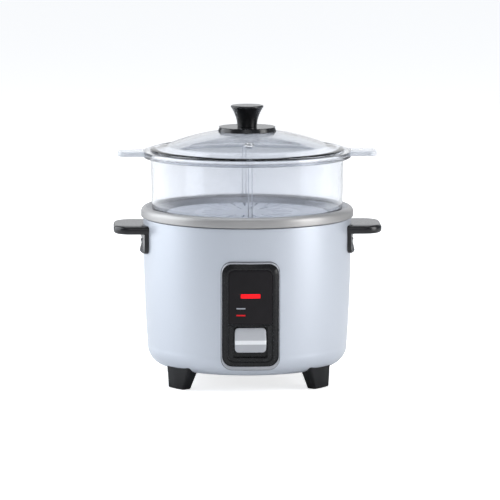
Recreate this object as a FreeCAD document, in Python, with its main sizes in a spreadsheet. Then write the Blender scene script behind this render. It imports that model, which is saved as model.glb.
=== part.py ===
import FreeCAD, Part
import math
import os
import Sketcher

# A drum-shaped electric rice cooker: a painted body with a heating plate and a cook lever,
# a lift-out pan, a clear steam basket standing in the pan's mouth, and a glass lid.
# Millimetres, +Z up, the front faces -Y, z = 0 is the table the feet stand on.

V = FreeCAD.Vector
doc = FreeCAD.newDocument("rice_cooker")

DIMS = {
    # painted body
    "body_r": 130.0, "body_top": 207.5, "side_start": 190.0, "side_bend": 2100.0,
    "side_end_r": 125.17, "side_end": 47.6, "corner_bend": 24.0, "corner_r": 101.2,
    "body_bottom": 22.0, "sheet": 1.0, "mouth_r": 125.6, "under_r": 84.0, "fit": 0.05,
    # base plate
    "base_r": 92.0, "vent_inner": 42.0, "vent_outer": 56.0, "vent_half": 2.0, "vent_count": 16,
    # inner shield
    "shield_r": 111.5, "shield_sheet": 0.7, "shield_top": 206.0, "shield_knee": 90.0,
    "shield_foot_r": 98.0, "shield_floor": 50.0, "shield_hole_r": 78.0, "shield_flange_r": 127.5,
    # heating plate, tube and legs
    "plate_r": 88.0, "plate_top": 72.0, "plate_under": 61.0, "plate_hole_r": 20.0,
    "boss_inner": 53.0, "boss_outer": 71.0, "boss_under": 55.0, "tube_ring_r": 62.0,
    "tube_r": 4.0, "tube_level": 58.0, "channel_gap": 0.2, "tube_turn": 310.0,
    "leg_ring_r": 82.5, "leg_r": 3.0, "leg_foot_r": 5.5,
    # feet
    "foot_under": 0.5, "foot_inner": 102.0, "foot_side": 107.8, "foot_outer": 115.0,
    "foot_block": 40.0, "foot_half": 15.0, "foot_slant": 36.0, "foot_steep": 15.6,
    "foot_top": 40.0, "foot_taper": 4.0, "foot_turn": 37.0,
    "pad_r": 5.0, "pad_tall": 5.0, "pad_ring_r": 108.5,
    # side handles
    "handle_reach": 167.5, "handle_half": 42.0, "handle_round": 22.0, "handle_low": 189.2,
    "handle_high": 199.7, "handle_edge": 4.0, "bracket_r": 135.0, "bracket_half": 41.0,
    "bracket_low": 164.6, "bracket_round": 7.0, "handle_root": 112.0, "screw_level": 178.0,
    # front panel
    "panel_half": 36.3, "panel_low": 31.8, "panel_high": 167.2, "panel_round": 14.0,
    "window_half": 27.5, "window_low": 42.6, "window_high": 157.0, "window_round": 8.0,
    "split_level": 88.9, "bezel_proud": 3.0, "plate_proud": 1.8, "lens_proud": 2.6,
    "front_low_r": 123.52, "front_low": 25.0, "lens_half": 12.0, "lens_low": 122.1,
    "lens_high": 127.4, "cup_half": 21.8, "cup_low": 46.4, "cup_high": 87.8, "cup_wall": 1.3,
    "cup_back": 120.0,
    # cook lever
    "key_half": 19.2, "key_low": 54.6, "key_high": 85.0, "key_round": 5.0, "pivot_back": 60.0,
    "pivot_level": 34.0, "pin_r": 2.5, "arm_half": 6.0, "arm_low": 37.0, "arm_sheet": 1.6,
    "arm_front": 112.0, "tab_level": 60.4, "ear_back": 55.0, "ear_front": 65.0,
    # thermostat: housing, sensor, magnet
    "housing_r": 13.5, "housing_wall": 1.5, "housing_low": 47.5, "housing_flange_r": 30.0,
    "cap_r": 17.5, "cap_sheet": 2.5, "skirt_r": 12.9, "skirt_wall": 1.9, "skirt_low": 58.0,
    "ferrite_low": 63.5, "magnet_r": 9.8, "magnet_low": 51.0, "magnet_high": 57.0, "rod_r": 2.0,
    "spring_r": 12.0, "wire_r": 0.6,
    # pan
    "pan_r": 106.5, "pan_wall": 2.0, "pan_floor": 74.0, "pan_corner": 20.0, "flare_low": 209.5,
    "seat_level": 217.5, "seat_in": 117.0, "seat_out": 121.2, "pan_top": 221.0, "lip_r": 133.0,
    "lip_low": 208.5, "lip_bend": 6.5, "lip_skin": 1.8,
    # steam basket
    "basket_low_r": 119.4, "basket_high_r": 120.6, "basket_wall": 2.0, "basket_floor": 2.2,
    "dish_r": 104.6, "dish_low": 210.6, "plate_seat_r": 98.5,
    "rim_low": 282.6, "rim_high": 290.6, "rim_r": 130.2, "rim_skin": 2.2, "seat": 289.4,
    "seat_r": 122.6, "ear_reach": 161.5, "ear_half": 20.0, "ear_low": 284.4, "ear_round": 9.0,
    "slot_half": 1.6, "slot_count": 36, "short_count": 18,
    # lid, knob
    "lid_r": 121.0, "lid_sheet": 4.0, "lid_apex": 316.8, "dome_bend": 268.0, "dome_r": 104.0,
    "dome_foot": 296.2, "lid_edge": 293.2, "hole_r": 4.0, "disc_r": 36.4, "disc_top": 320.2,
    "disc_edge": 314.3, "knob_top": 347.0, "knob_r": 20.5, "neck_r": 12.0, "vent_ring_r": 78.6,
    "vent_r": 4.5, "eyelet_r": 6.2,
    # inlet
    "inlet_half": 20.0, "inlet_low": 45.0, "inlet_high": 71.0, "inlet_back": 128.0,
    "inlet_deep": 110.0, "flange_half": 28.0, "lead_r": 1.4, "flange_low": 40.0, "flange_high": 76.0,
}

sheet = doc.addObject("Spreadsheet::Sheet", "dims")
for row, (alias, value) in enumerate(DIMS.items(), start=1):
    sheet.set(f"A{row}", alias)
    sheet.set(f"B{row}", str(value))
    sheet.setAlias(f"B{row}", alias)
doc.recompute()


def number(text):
    """Value of a sum of terms such as 'body_r - sheet' or '0.5*ear_half + 3'."""
    total = 0.0
    for term in str(text).replace("-", "+-").split("+"):
        term = term.strip()
        if term:
            value = -1.0 if term.startswith("-") else 1.0
            for word in term.lstrip("- ").split("*"):
                word = word.strip()
                value *= float(sheet.get(word)) if word in DIMS else float(word)
            total += value
    return total


def formula(text):
    """The same sum with every alias pointed at the spreadsheet."""
    words = str(text).replace("+", " + ").replace("-", " - ").replace("*", " * ").split()
    return " ".join("dims." + word if word in DIMS else word for word in words)


def bind(thing, prop, text):
    thing.setExpression(prop, formula(text))


# ---------------------------------------------------------------- building blocks

PLANES = {"top": "XY_Plane", "front": "XZ_Plane", "side": "YZ_Plane"}
TURNS = {
    "up": FreeCAD.Rotation(),
    "down": FreeCAD.Rotation(V(1, 0, 0), 180),
    "right": FreeCAD.Rotation(V(0, 1, 0), 90),
    "left": FreeCAD.Rotation(V(0, 1, 0), -90),
    "front": FreeCAD.Rotation(V(1, 0, 0), 90),
    "back": FreeCAD.Rotation(V(1, 0, 0), -90),
}
nodes = {}


def node(label, thing):
    """Names a finished piece and lists it for export."""
    thing.Label = label
    nodes[label] = thing
    return thing


def place(thing, x, y, z, turn="up"):
    thing.Placement = FreeCAD.Placement(V(number(x), number(y), number(z)), TURNS[turn])
    bind(thing, "Placement.Base.x", x)
    bind(thing, "Placement.Base.y", y)
    bind(thing, "Placement.Base.z", z)
    return thing


def sketch(body, plane, points, offset="0"):
    """A closed outline; a point (x, y, radius, 'left' or 'right') is reached by an arc."""
    support = [f for f in body.Origin.OriginFeatures if f.Role == PLANES[plane]][0]
    sk = body.newObject("Sketcher::SketchObject", "outline")
    sk.AttachmentSupport = (support, [""])
    sk.MapMode = "FlatFace"
    bind(sk, "AttachmentOffset.Base.z", offset)
    spots = [V(number(p[0]), number(p[1]), 0) for p in points]
    ends = []
    radii = []
    centres = []
    for i, here in enumerate(spots):
        target = points[(i + 1) % len(points)]
        there = spots[(i + 1) % len(points)]
        if len(target) == 2:
            ends.append((sk.addGeometry(Part.LineSegment(here, there), False), 1, 2))
            continue
        radius = number(target[2])
        sign = 1 if target[3] == "left" else -1
        chord = there - here
        away = V(-chord.y, chord.x, 0).normalize() * sign
        rise = math.sqrt(max(radius * radius - chord.Length ** 2 / 4, 0.0))
        centre = (here + there) * 0.5 + away * rise
        first, last = (here, there) if sign == 1 else (there, here)
        start = math.atan2(first.y - centre.y, first.x - centre.x)
        stop = math.atan2(last.y - centre.y, last.x - centre.x)
        if stop < start:
            stop += 2 * math.pi
        circle = Part.Circle(centre, V(0, 0, 1), radius)
        index = sk.addGeometry(Part.ArcOfCircle(circle, start, stop), False)
        ends.append((index, 1, 2) if sign == 1 else (index, 2, 1))
        if rise < 0.001 and abs(chord.x) < abs(chord.y):
            centres.append((index, target[0]))
        else:
            radii.append((index, target[2]))
    for i, (index, first, last) in enumerate(ends):
        after = ends[(i + 1) % len(ends)]
        sk.addConstraint(Sketcher.Constraint("Coincident", index, last, after[0], after[1]))
    for i, (index, first, last) in enumerate(ends):
        for kind, text, axis in (("DistanceX", points[i][0], -2), ("DistanceY", points[i][1], -1)):
            if number(text) == 0:
                sk.addConstraint(Sketcher.Constraint("PointOnObject", index, first, axis))
            else:
                c = sk.addConstraint(Sketcher.Constraint(kind, index, first, number(text)))
                bind(sk, f"Constraints[{c}]", text)
    for index, text in centres:
        c = sk.addConstraint(Sketcher.Constraint("DistanceX", index, 3, number(text)))
        bind(sk, f"Constraints[{c}]", text)
    for index, text in radii:
        c = sk.addConstraint(Sketcher.Constraint("Radius", index, number(text)))
        bind(sk, f"Constraints[{c}]", text)
    return sk


def turned(points, angle="360"):
    """A body of revolution about the upright axis."""
    body = doc.addObject("PartDesign::Body", "turned")
    sk = sketch(body, "front", points)
    turn = body.newObject("PartDesign::Revolution", "turn")
    turn.Profile = sk
    turn.ReferenceAxis = (sk, ["V_Axis"])
    turn.Midplane = True
    bind(turn, "Angle", angle)
    doc.recompute()
    return body


def prism(plane, points, start, length):
    """A padded outline; 'front' grows towards -Y, 'side' towards +X, 'top' towards +Z."""
    body = doc.addObject("PartDesign::Body", "prism")
    sk = sketch(body, plane, points, start)
    pad = body.newObject("PartDesign::Pad", "pad")
    pad.Profile = sk
    bind(pad, "Length", length)
    doc.recompute()
    return body


def rounded(left, right, low, high, r):
    """Outline of a rectangle with four rounded corners."""
    return [
        (f"{left}+{r}", low, r, "left"), (f"{right}-{r}", low),
        (right, f"{low}+{r}", r, "left"), (right, f"{high}-{r}"),
        (f"{right}-{r}", high, r, "left"), (f"{left}+{r}", high),
        (left, f"{high}-{r}", r, "left"), (left, f"{low}+{r}"),
    ]


def soften(body, radius, test):
    """Fillets the edges of a body's last shape that pass the test."""
    doc.recompute()
    tip = body.Tip
    names = [f"Edge{i}" for i, e in enumerate(tip.Shape.Edges, start=1) if test(e)]
    fillet = body.newObject("PartDesign::Fillet", "soften")
    fillet.Base = (tip, names)
    fillet.Radius = number(radius)
    bind(fillet, "Radius", radius)
    body.Tip = fillet
    doc.recompute()
    return body


def pocket_ring(body, points, level, depth, count):
    """Cuts an outline downwards from a level and repeats it round the axis."""
    sk = sketch(body, "top", points, level)
    pocket = body.newObject("PartDesign::Pocket", "slot")
    pocket.Profile = sk
    bind(pocket, "Length", depth)
    ring = body.newObject("PartDesign::PolarPattern", "slot_ring")
    ring.Originals = [pocket]
    ring.Axis = (sk, ["N_Axis"])
    ring.Angle = 360
    bind(ring, "Occurrences", count)
    body.Tip = ring
    doc.recompute()
    return body


def box(x_low, x_high, y_low, y_high, z_low, z_high):
    thing = doc.addObject("Part::Box", "block")
    spans = {"Length": (x_low, x_high), "Width": (y_low, y_high), "Height": (z_low, z_high)}
    for prop, (low, high) in spans.items():
        thing.setExpression(prop, f"({formula(high)}) - ({formula(low)})")
    return place(thing, x_low, y_low, z_low)


def rod(radius, length, x, y, z, turn="up"):
    thing = doc.addObject("Part::Cylinder", "rod")
    bind(thing, "Radius", radius)
    bind(thing, "Height", length)
    return place(thing, x, y, z, turn)


def combined(kind, base, tool):
    thing = doc.addObject(kind, "combined")
    thing.Base = base
    thing.Tool = tool
    return thing


def less(base, *tools):
    for tool in tools:
        base = combined("Part::Cut", base, tool)
    return base


def both(base, tool):
    return combined("Part::Common", base, tool)


def joined(*parts):
    thing = doc.addObject("Part::MultiFuse", "joined")
    thing.Shapes = list(parts)
    thing.Refine = True
    return thing


def screw(head_r, head_tall, shaft_r, shaft_long, x, y, z, turn):
    """A round-headed screw: the head's back face is at the given point, shaft along turn."""
    head = doc.addObject("Part::Cylinder", "head")
    bind(head, "Radius", head_r)
    bind(head, "Height", head_tall)
    head.Placement.Base = V(0, 0, -number(head_tall))
    shaft = doc.addObject("Part::Cylinder", "shaft")
    bind(shaft, "Radius", shaft_r)
    bind(shaft, "Height", shaft_long)
    groove = doc.addObject("Part::Box", "groove")
    bind(groove, "Length", f"2*{head_r}")
    groove.Width = 1.0
    groove.Height = 1.0
    groove.Placement.Base = V(-number(head_r), -0.5, -number(head_tall) - 0.2)
    return place(less(joined(head, shaft), groove), x, y, z, turn)


# ---------------------------------------------------------------- spaces of the body

def body_side(grow):
    """Outside line of the painted body from the bottom flat to its top, grown outwards."""
    return [
        ("corner_r", f"body_bottom-{grow}"),
        (f"side_end_r+{grow}", "side_end", f"corner_bend+{grow}", "left"),
        (f"body_r+{grow}", "side_start", "side_bend", "left"),
    ]


def body_space():
    """Everything inside the painted skin, used to seat parts that follow its surface."""
    low = [("0", "body_bottom-fit")]
    return turned(low + body_side("fit") + [("body_r+fit", "230"), ("0", "230")])


def front_space(proud):
    """Everything behind a surface standing proud of the body's side line."""
    return turned([
        ("0", "front_low"), (f"front_low_r+{proud}", "front_low"),
        (f"body_r+{proud}", "side_start", "side_bend", "left"), ("0", "side_start"),
    ])


# ---------------------------------------------------------------- painted body and base

shell = turned([
    ("under_r", "body_bottom"), ("corner_r", "body_bottom"),
    ("side_end_r", "side_end", "corner_bend", "left"),
    ("body_r", "side_start", "side_bend", "left"),
    ("body_r", "body_top-1"), ("body_r-1", "body_top", "1", "left"),
    ("mouth_r", "body_top"), ("mouth_r", "body_top-sheet"),
    ("body_r-sheet", "body_top-sheet"), ("body_r-sheet", "side_start"),
    ("side_end_r-sheet", "side_end", "side_bend", "right"),
    ("corner_r", "body_bottom+sheet", "corner_bend-sheet", "right"),
    ("under_r", "body_bottom+sheet"),
])
lamp_window = box("-14.5", "14.5", "-140", "-110", "lens_low-3", "lens_high+3")
lever_window = box("-cup_half-0.3", "cup_half+0.3", "-140", "-100", "cup_low-0.3", "cup_high+0.3")
inlet_window = box("-inlet_half-0.3", "inlet_half+0.3", "100", "140", "inlet_low-0.3", "inlet_high+0.3")
handle_bolts = rod("2.1", "280", "-140", "0", "screw_level", "right")
inlet_bolts = [rod("1.8", "24", x, "112", "58", "back") for x in ("-24", "24")]
node("outer_shell", less(shell, lamp_window, lever_window, inlet_window, handle_bolts, *inlet_bolts))

base = turned([
    ("0", "body_bottom+sheet"), ("base_r", "body_bottom+sheet"), ("base_r", "body_bottom+sheet+4"),
    ("base_r-1.2", "body_bottom+sheet+4"), ("base_r-1.2", "body_bottom+2*sheet"),
    ("0", "body_bottom+2*sheet"),
])
pocket_ring(base, [
    ("vent_inner", "-vent_half"), ("vent_outer", "-vent_half"),
    ("vent_outer", "vent_half", "vent_half", "left"), ("vent_inner", "vent_half"),
], "body_bottom+2*sheet+4", "8", "vent_count")
node("base_plate", base)

shield = turned([
    ("shield_hole_r", "shield_floor"), ("shield_foot_r+shield_sheet", "shield_floor"),
    ("shield_r+shield_sheet", "shield_knee"),
    ("shield_r+shield_sheet", "shield_top-shield_sheet"),
    ("shield_flange_r", "shield_top-shield_sheet"), ("shield_flange_r", "shield_top"),
    ("shield_r", "shield_top"), ("shield_r", "shield_knee+0.2"),
    ("shield_foot_r", "shield_floor+shield_sheet"), ("shield_hole_r", "shield_floor+shield_sheet"),
])
leg_angles = {"heater_leg_a": 90, "heater_leg_b": 210, "heater_leg_c": 330}


def out_at(thing, angle, radius, low):
    """Moves an upright piece out to a radius and round to an angle from +X."""
    turn = math.radians(angle)
    reach = number(radius)
    thing.Placement = FreeCAD.Placement(
        V(reach * math.cos(turn), reach * math.sin(turn), number(low)),
        FreeCAD.Rotation(V(0, 0, 1), angle))
    return thing


def upright(radius, length):
    """An upright round bar standing on its own origin."""
    thing = doc.addObject("Part::Cylinder", "bar")
    bind(thing, "Radius", radius)
    bind(thing, "Height", length)
    return thing


leg_holes = [
    out_at(upright("leg_r+0.1", "20"), angle, "leg_ring_r", "shield_floor-10")
    for angle in leg_angles.values()
]
wiring_notch = box("-13", "13", "88", "108", "shield_floor-4", "shield_floor+9")
node("inner_shield", less(shield, wiring_notch, *leg_holes))

# ---------------------------------------------------------------- heating plate and thermostat

plate = turned([
    ("plate_hole_r", "plate_under"), ("boss_inner", "plate_under"), ("boss_inner", "boss_under"),
    ("tube_ring_r-tube_r-channel_gap", "boss_under"),
    ("tube_ring_r-tube_r-channel_gap", "tube_level+tube_r+channel_gap"),
    ("tube_ring_r+tube_r+channel_gap", "tube_level+tube_r+channel_gap"),
    ("tube_ring_r+tube_r+channel_gap", "boss_under"),
    ("boss_outer", "boss_under"), ("boss_outer", "plate_under"), ("plate_r-3", "plate_under"),
    ("plate_r", "plate_under+3"), ("plate_r", "plate_top-1.5"), ("plate_r-1.5", "plate_top"),
    ("plate_hole_r+1", "plate_top"), ("plate_hole_r", "plate_top-1"),
])
node("heating_plate", plate)

tube = doc.addObject("Part::Torus", "tube")
bind(tube, "Radius1", "tube_ring_r")
bind(tube, "Radius2", "tube_r")
bind(tube, "Angle3", "tube_turn")
tube.Placement = FreeCAD.Placement(V(0, 0, number("tube_level")), FreeCAD.Rotation(V(0, 0, 1), 115))
node("heater_tube", tube)

for label, angle in leg_angles.items():
    leg = turned([
        ("0", "0"), ("leg_foot_r", "0"), ("leg_foot_r", "shield_floor-body_bottom-2*sheet"),
        ("leg_r", "shield_floor-body_bottom-2*sheet"),
        ("leg_r", "plate_under-body_bottom-2*sheet"),
        ("0", "plate_under-body_bottom-2*sheet"),
    ])
    node(label, out_at(leg, angle, "leg_ring_r", "body_bottom+2*sheet"))

warm_band = turned([
    ("shield_r+shield_sheet+0.05", "120"), ("shield_r+shield_sheet+2.4", "120"),
    ("shield_r+shield_sheet+2.4", "148"), ("shield_r+shield_sheet+0.05", "148"),
], "70")
warm_band.Placement.Rotation = FreeCAD.Rotation(V(0, 0, 1), 90)
node("warm_element", warm_band)

node("thermostat_housing", turned([
    ("rod_r+0.6", "housing_low"), ("housing_r+housing_wall", "housing_low"),
    ("housing_r+housing_wall", "plate_under-1.6"), ("housing_flange_r", "plate_under-1.6"),
    ("housing_flange_r", "plate_under"), ("housing_r", "plate_under"),
    ("housing_r", "housing_low+housing_wall"), ("rod_r+0.6", "housing_low+housing_wall"),
]))
node("sensor_cap", turned([
    ("0", "plate_top-cap_sheet"), ("skirt_r-skirt_wall", "plate_top-cap_sheet"),
    ("skirt_r-skirt_wall", "skirt_low"), ("skirt_r", "skirt_low"),
    ("skirt_r", "plate_top-cap_sheet"), ("cap_r", "plate_top-cap_sheet"),
    ("cap_r", "plate_top-0.8"), ("cap_r-0.8", "plate_top", "0.8", "left"), ("0", "plate_top"),
]))
node("ferrite", turned([
    ("0", "ferrite_low"), ("skirt_r-skirt_wall-0.05", "ferrite_low"),
    ("skirt_r-skirt_wall-0.05", "plate_top-cap_sheet"), ("0", "plate_top-cap_sheet"),
]))
node("magnet", turned([
    ("0", "magnet_low"), ("magnet_r", "magnet_low"), ("magnet_r", "magnet_high-0.6"),
    ("magnet_r-0.6", "magnet_high"), ("0", "magnet_high"),
]))
node("magnet_holder", turned([
    ("rod_r", "magnet_low-1.6"), ("magnet_r+0.4", "magnet_low-1.6"),
    ("magnet_r+0.4", "magnet_low"), ("rod_r", "magnet_low"),
]))
node("link_rod", turned([
    ("0", "30"), ("rod_r", "30"), ("rod_r", "32"), ("5", "32"), ("5", "33.5"), ("rod_r", "33.5"),
    ("rod_r", "39.8"), ("5", "39.8"), ("5", "41.2"), ("rod_r", "41.2"), ("rod_r", "magnet_low"),
    ("0", "magnet_low"),
]))



node("sensor_spring", turned([
    ("spring_r-wire_r", "housing_low+housing_wall+0.02"),
    ("spring_r+wire_r", "housing_low+housing_wall+0.02"),
    ("spring_r+wire_r", "skirt_low-0.02"), ("spring_r-wire_r", "skirt_low-0.02"),
]))

# ---------------------------------------------------------------- cook lever and its bracket

arm = prism("top", [
    ("-arm_half", "-arm_front"), ("arm_half", "-arm_front"), ("arm_half", "6"),
    ("rod_r+0.5", "6"), ("rod_r+0.5", "-rod_r-1.5"), ("-rod_r-0.5", "-rod_r-1.5"),
    ("-rod_r-0.5", "6"), ("-arm_half", "6"),
], "arm_low", "arm_sheet")
riser = box("-arm_half", "arm_half", "-arm_front", "-arm_front+arm_sheet", "arm_low", "tab_level+1")
tab = box("-arm_half", "arm_half", "-arm_front-13.5", "-arm_front+arm_sheet", "tab_level",
          "tab_level+arm_sheet")
ears = [
    prism("side", [
        ("-ear_front", "pivot_level-5"), ("-ear_back", "pivot_level-5"),
        ("-ear_back", "arm_low+arm_sheet"), ("-ear_front", "arm_low+arm_sheet"),
    ], start, "arm_sheet")
    for start in ("-arm_half", "arm_half-arm_sheet")
]
pin_hole = rod("pin_r+0.05", "60", "-30", "-pivot_back", "pivot_level", "right")
node("lever_arm", less(joined(arm, riser, tab, *ears), pin_hole))

key_face = prism("front", rounded("-key_half", "key_half", "key_low", "key_high", "key_round"),
                 "120", "20")
key_side = prism("side", [
    ("-125", "key_low"), ("-125", "key_high"), ("-126.6", "key_high"), ("-131.4", "71.4"),
    ("-132.4", "69.6"), ("-132.4", "65.6"), ("-131.2", "63.6"), ("-128.2", "key_low"),
], "-30", "60")
key_slot = box("-arm_half-0.05", "arm_half+0.05", "-arm_front-13.5", "-110",
               "tab_level-0.05", "tab_level+arm_sheet+0.05")
node("lever_key", less(both(key_face, key_side), key_slot))

node("pivot_pin", rod("pin_r", "24", "-12", "-pivot_back", "pivot_level", "right"))
saddle = box("-10.6", "10.6", "-pivot_back-8", "-pivot_back+8", "body_bottom+2*sheet+0.01",
             "body_bottom+2*sheet+1.6")
cheeks = [
    prism("side", [
        ("-pivot_back-7", "body_bottom+2*sheet+0.01"), ("-pivot_back+7", "body_bottom+2*sheet+0.01"),
        ("-pivot_back+7", "pivot_level"), ("-pivot_back", "pivot_level+7", "7", "left"),
        ("-pivot_back-7", "pivot_level", "7", "left"),
    ], start, "arm_sheet")
    for start in ("-10.6", "9")
]
node("pivot_bracket", less(joined(saddle, *cheeks),
                           rod("pin_r", "60", "-30", "-pivot_back", "pivot_level", "right")))

node("switch_base", box("14", "36", "-pivot_back-20", "-pivot_back+16",
                        "body_bottom+2*sheet+0.01", "body_bottom+2*sheet+10"))
node("fixed_contact", box("16", "22", "-pivot_back-16", "-pivot_back+12",
                          "body_bottom+2*sheet+10", "body_bottom+2*sheet+11"))
blade = box("27", "33", "-pivot_back-16", "-pivot_back+20", "body_bottom+2*sheet+13",
            "body_bottom+2*sheet+13.6")
blade_foot = box("27", "33", "-pivot_back-16", "-pivot_back-10", "body_bottom+2*sheet+10",
                 "body_bottom+2*sheet+13.3")
node("moving_contact", joined(blade, blade_foot))

# ---------------------------------------------------------------- supply side

inlet_core = box("-inlet_half", "inlet_half", "inlet_deep", "inlet_back", "inlet_low",
                 "inlet_high")
inlet_flange = less(
    prism("front", rounded("-flange_half", "flange_half", "flange_low", "flange_high", "4"),
          "-inlet_back", "18"),
    body_space())
inlet_well = box("-inlet_half+4", "inlet_half-4", "inlet_deep+4", "inlet_back+4", "inlet_low+4",
                 "inlet_high-4")
pins = {"inlet_pin_live": ("-8", "54.5"), "inlet_pin_neutral": ("8", "54.5"),
        "inlet_pin_earth": ("0", "62")}
pin_holes = [rod("2", "30", x, "90", z, "back") for x, z in pins.values()]
flange_bolts = [rod("1.6", "30", x, "110", "58", "back") for x in ("-24", "24")]
node("inlet_socket", less(joined(inlet_core, inlet_flange), inlet_well, *pin_holes,
                          *flange_bolts))
for label, (x, z) in pins.items():
    node(label, rod("2", "inlet_back-inlet_deep+1", x, "inlet_deep-4", z, "back"))
for label, x in (("inlet_screw_left", "-24"), ("inlet_screw_right", "24")):
    node(label, screw("2.8", "1.4", "1.6", "7", x, "inlet_back+0.01", "58", "front"))

terminals = box("-20", "20", "62", "76", "body_bottom+2*sheet+0.01", "body_bottom+2*sheet+11")
node("terminal_block", less(terminals, *[
    rod("1.7", "8", x, "69", "body_bottom+2*sheet+6", "up") for x in ("-14", "0", "14")]))


def lead(label, radius, stops):
    """A round insulated lead: straight runs joined by tangent arcs at the inner stops."""
    spots = [V(*stop) for stop in stops]
    edges = []
    last = spots[0]
    for before, corner, after in zip(spots, spots[1:], spots[2:]):
        back = (before - corner).normalize()
        ahead = (after - corner).normalize()
        half = back.getAngle(ahead) / 2
        reach = 0.45 * min((before - corner).Length, (after - corner).Length)
        bend = reach * math.tan(half)
        inward = (back + ahead).normalize()
        middle = corner + inward * (bend / math.sin(half) - bend)
        first = corner + back * reach
        second = corner + ahead * reach
        edges.append(Part.LineSegment(last, first).toShape())
        edges.append(Part.Arc(first, middle, second).toShape())
        last = second
    edges.append(Part.LineSegment(last, spots[-1]).toShape())
    line = Part.Wire(edges)
    section = Part.Wire([Part.makeCircle(number(radius), spots[0], spots[1] - spots[0])])
    thing = doc.addObject("Part::Feature", "lead")
    thing.Shape = line.makePipeShell([section], True, False)
    print(label, "volume over section times length",
          round(thing.Shape.Volume / (math.pi * number(radius) ** 2 * line.Length), 4))
    return node(label, thing)


lead("wire_live", "lead_r", [(-8, 105.8, 54.5), (-8.4, 98, 54), (-12, 88, 42), (-14, 77.3, 31)])
lead("wire_neutral", "lead_r", [(8, 105.8, 54.5), (8.4, 98, 54), (12, 88, 42), (14, 77.3, 31)])
lead("wire_switch", "lead_r", [(-14, 61.4, 31), (-20, 44, 30), (-34, 12, 29), (-36, -30, 29),
                               (-30, -70, 30), (-12, -88, 31), (12, -91, 31), (24.3, -81.4, 31)])
fuse = rod("3.2", "18", "-45", "20", "body_bottom+2*sheet+3.21", "front")
node("thermal_fuse", fuse)

# ---------------------------------------------------------------- front panel

frame_block = prism("front", rounded("-panel_half", "panel_half", "panel_low", "panel_high",
                                     "panel_round"), "100", "40")
frame_hole = prism("front", rounded("-window_half", "window_half", "window_low", "window_high",
                                    "window_round"), "90", "60")
node("panel_bezel", both(less(frame_block, body_space(), frame_hole), front_space("bezel_proud")))

plate_block = prism("front", [
    ("-window_half+0.15", "split_level+0.3"), ("window_half-0.15", "split_level+0.3"),
    ("window_half-0.15", "window_high-window_round"),
    ("window_half-window_round", "window_high-0.15", "window_round-0.15", "left"),
    ("-window_half+window_round", "window_high-0.15"),
    ("-window_half+0.15", "window_high-window_round", "window_round-0.15", "left"),
], "100", "40")
lens_hole = box("-lens_half-0.1", "lens_half+0.1", "-150", "-100", "lens_low-0.1", "lens_high+0.1")
node("panel_plate", both(less(plate_block, body_space(), lens_hole), front_space("plate_proud")))

recess_block = prism("front", [
    ("-window_half+window_round", "window_low+0.15", "window_round-0.15", "left"),
    ("window_half-window_round", "window_low+0.15"),
    ("window_half-0.15", "window_low+window_round", "window_round-0.15", "left"),
    ("window_half-0.15", "split_level"), ("-window_half+0.15", "split_level"),
    ("-window_half+0.15", "window_low+window_round"),
], "100", "40")
cup = box("-cup_half", "cup_half", "-140", "-cup_back", "cup_low", "cup_high")
cup_hole = prism("front", rounded("-cup_half+cup_wall", "cup_half-cup_wall",
                                  "cup_low+cup_wall", "cup_high-cup_wall", "2"),
                 "cup_back+cup_wall", "40")
tab_slot = box("-9", "9", "-140", "-100", "53", "66")
node("lever_surround", less(both(joined(less(recess_block, body_space()), cup),
                                 front_space("plate_proud")), cup_hole, tab_slot))

lens_block = box("-lens_half", "lens_half", "-150", "-123", "lens_low", "lens_high")
node("lamp_lens", both(lens_block, front_space("lens_proud")))
holder = box("-14", "14", "-125.6", "-118.2", "lens_low-2.5", "lens_high+2.5")
holder_hole = box("-lens_half-0.1", "lens_half+0.1", "-140", "-120", "lens_low-0.1",
                  "lens_high+0.1")
node("lamp_holder", less(holder, holder_hole))
node("neon_lamp", rod("1.4", "18", "-9", "-121.42", "124.75", "right"))

# ---------------------------------------------------------------- side handles

grip = prism("top", [
    ("handle_root", "-handle_half"), ("handle_reach-handle_round", "-handle_half"),
    ("handle_reach", "-handle_half+handle_round", "handle_round", "left"),
    ("handle_reach", "handle_half-handle_round"),
    ("handle_reach-handle_round", "handle_half", "handle_round", "left"),
    ("handle_root", "handle_half"),
], "handle_low", "handle_high-handle_low")


def outer_rim(edge):
    """True for the grip's flat outline edges away from the body."""
    centre = edge.CenterOfMass
    flat = edge.BoundBox.ZLength < 0.01
    return flat and centre.x > number("handle_root") + 1


soften(grip, "handle_edge", outer_rim)
bracket = both(
    turned([("0", "bracket_low"), ("bracket_r", "bracket_low"), ("bracket_r", "handle_low+2"),
            ("0", "handle_low+2")]),
    prism("side", [
        ("-bracket_half+bracket_round", "bracket_low", "bracket_round", "left"),
        ("bracket_half-bracket_round", "bracket_low"),
        ("bracket_half", "bracket_low+bracket_round", "bracket_round", "left"),
        ("bracket_half", "handle_low+2"), ("-bracket_half", "handle_low+2"),
        ("-bracket_half", "bracket_low+bracket_round"),
    ], "100", "40"))
bolt_hole = rod("2", "33.6", "100", "0", "screw_level", "right")
for label, turn in (("right_handle", 0), ("left_handle", 180)):
    whole = less(joined(grip, bracket), body_space(), bolt_hole)
    whole.Placement.Rotation = FreeCAD.Rotation(V(0, 0, 1), turn)
    node(label, whole)
node("right_handle_screw", screw("4.2", "2.4", "2", "4.6", "128.86", "0", "screw_level", "right"))
node("left_handle_screw", screw("4.2", "2.4", "2", "4.6", "-128.86", "0", "screw_level", "left"))

# ---------------------------------------------------------------- feet

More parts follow.
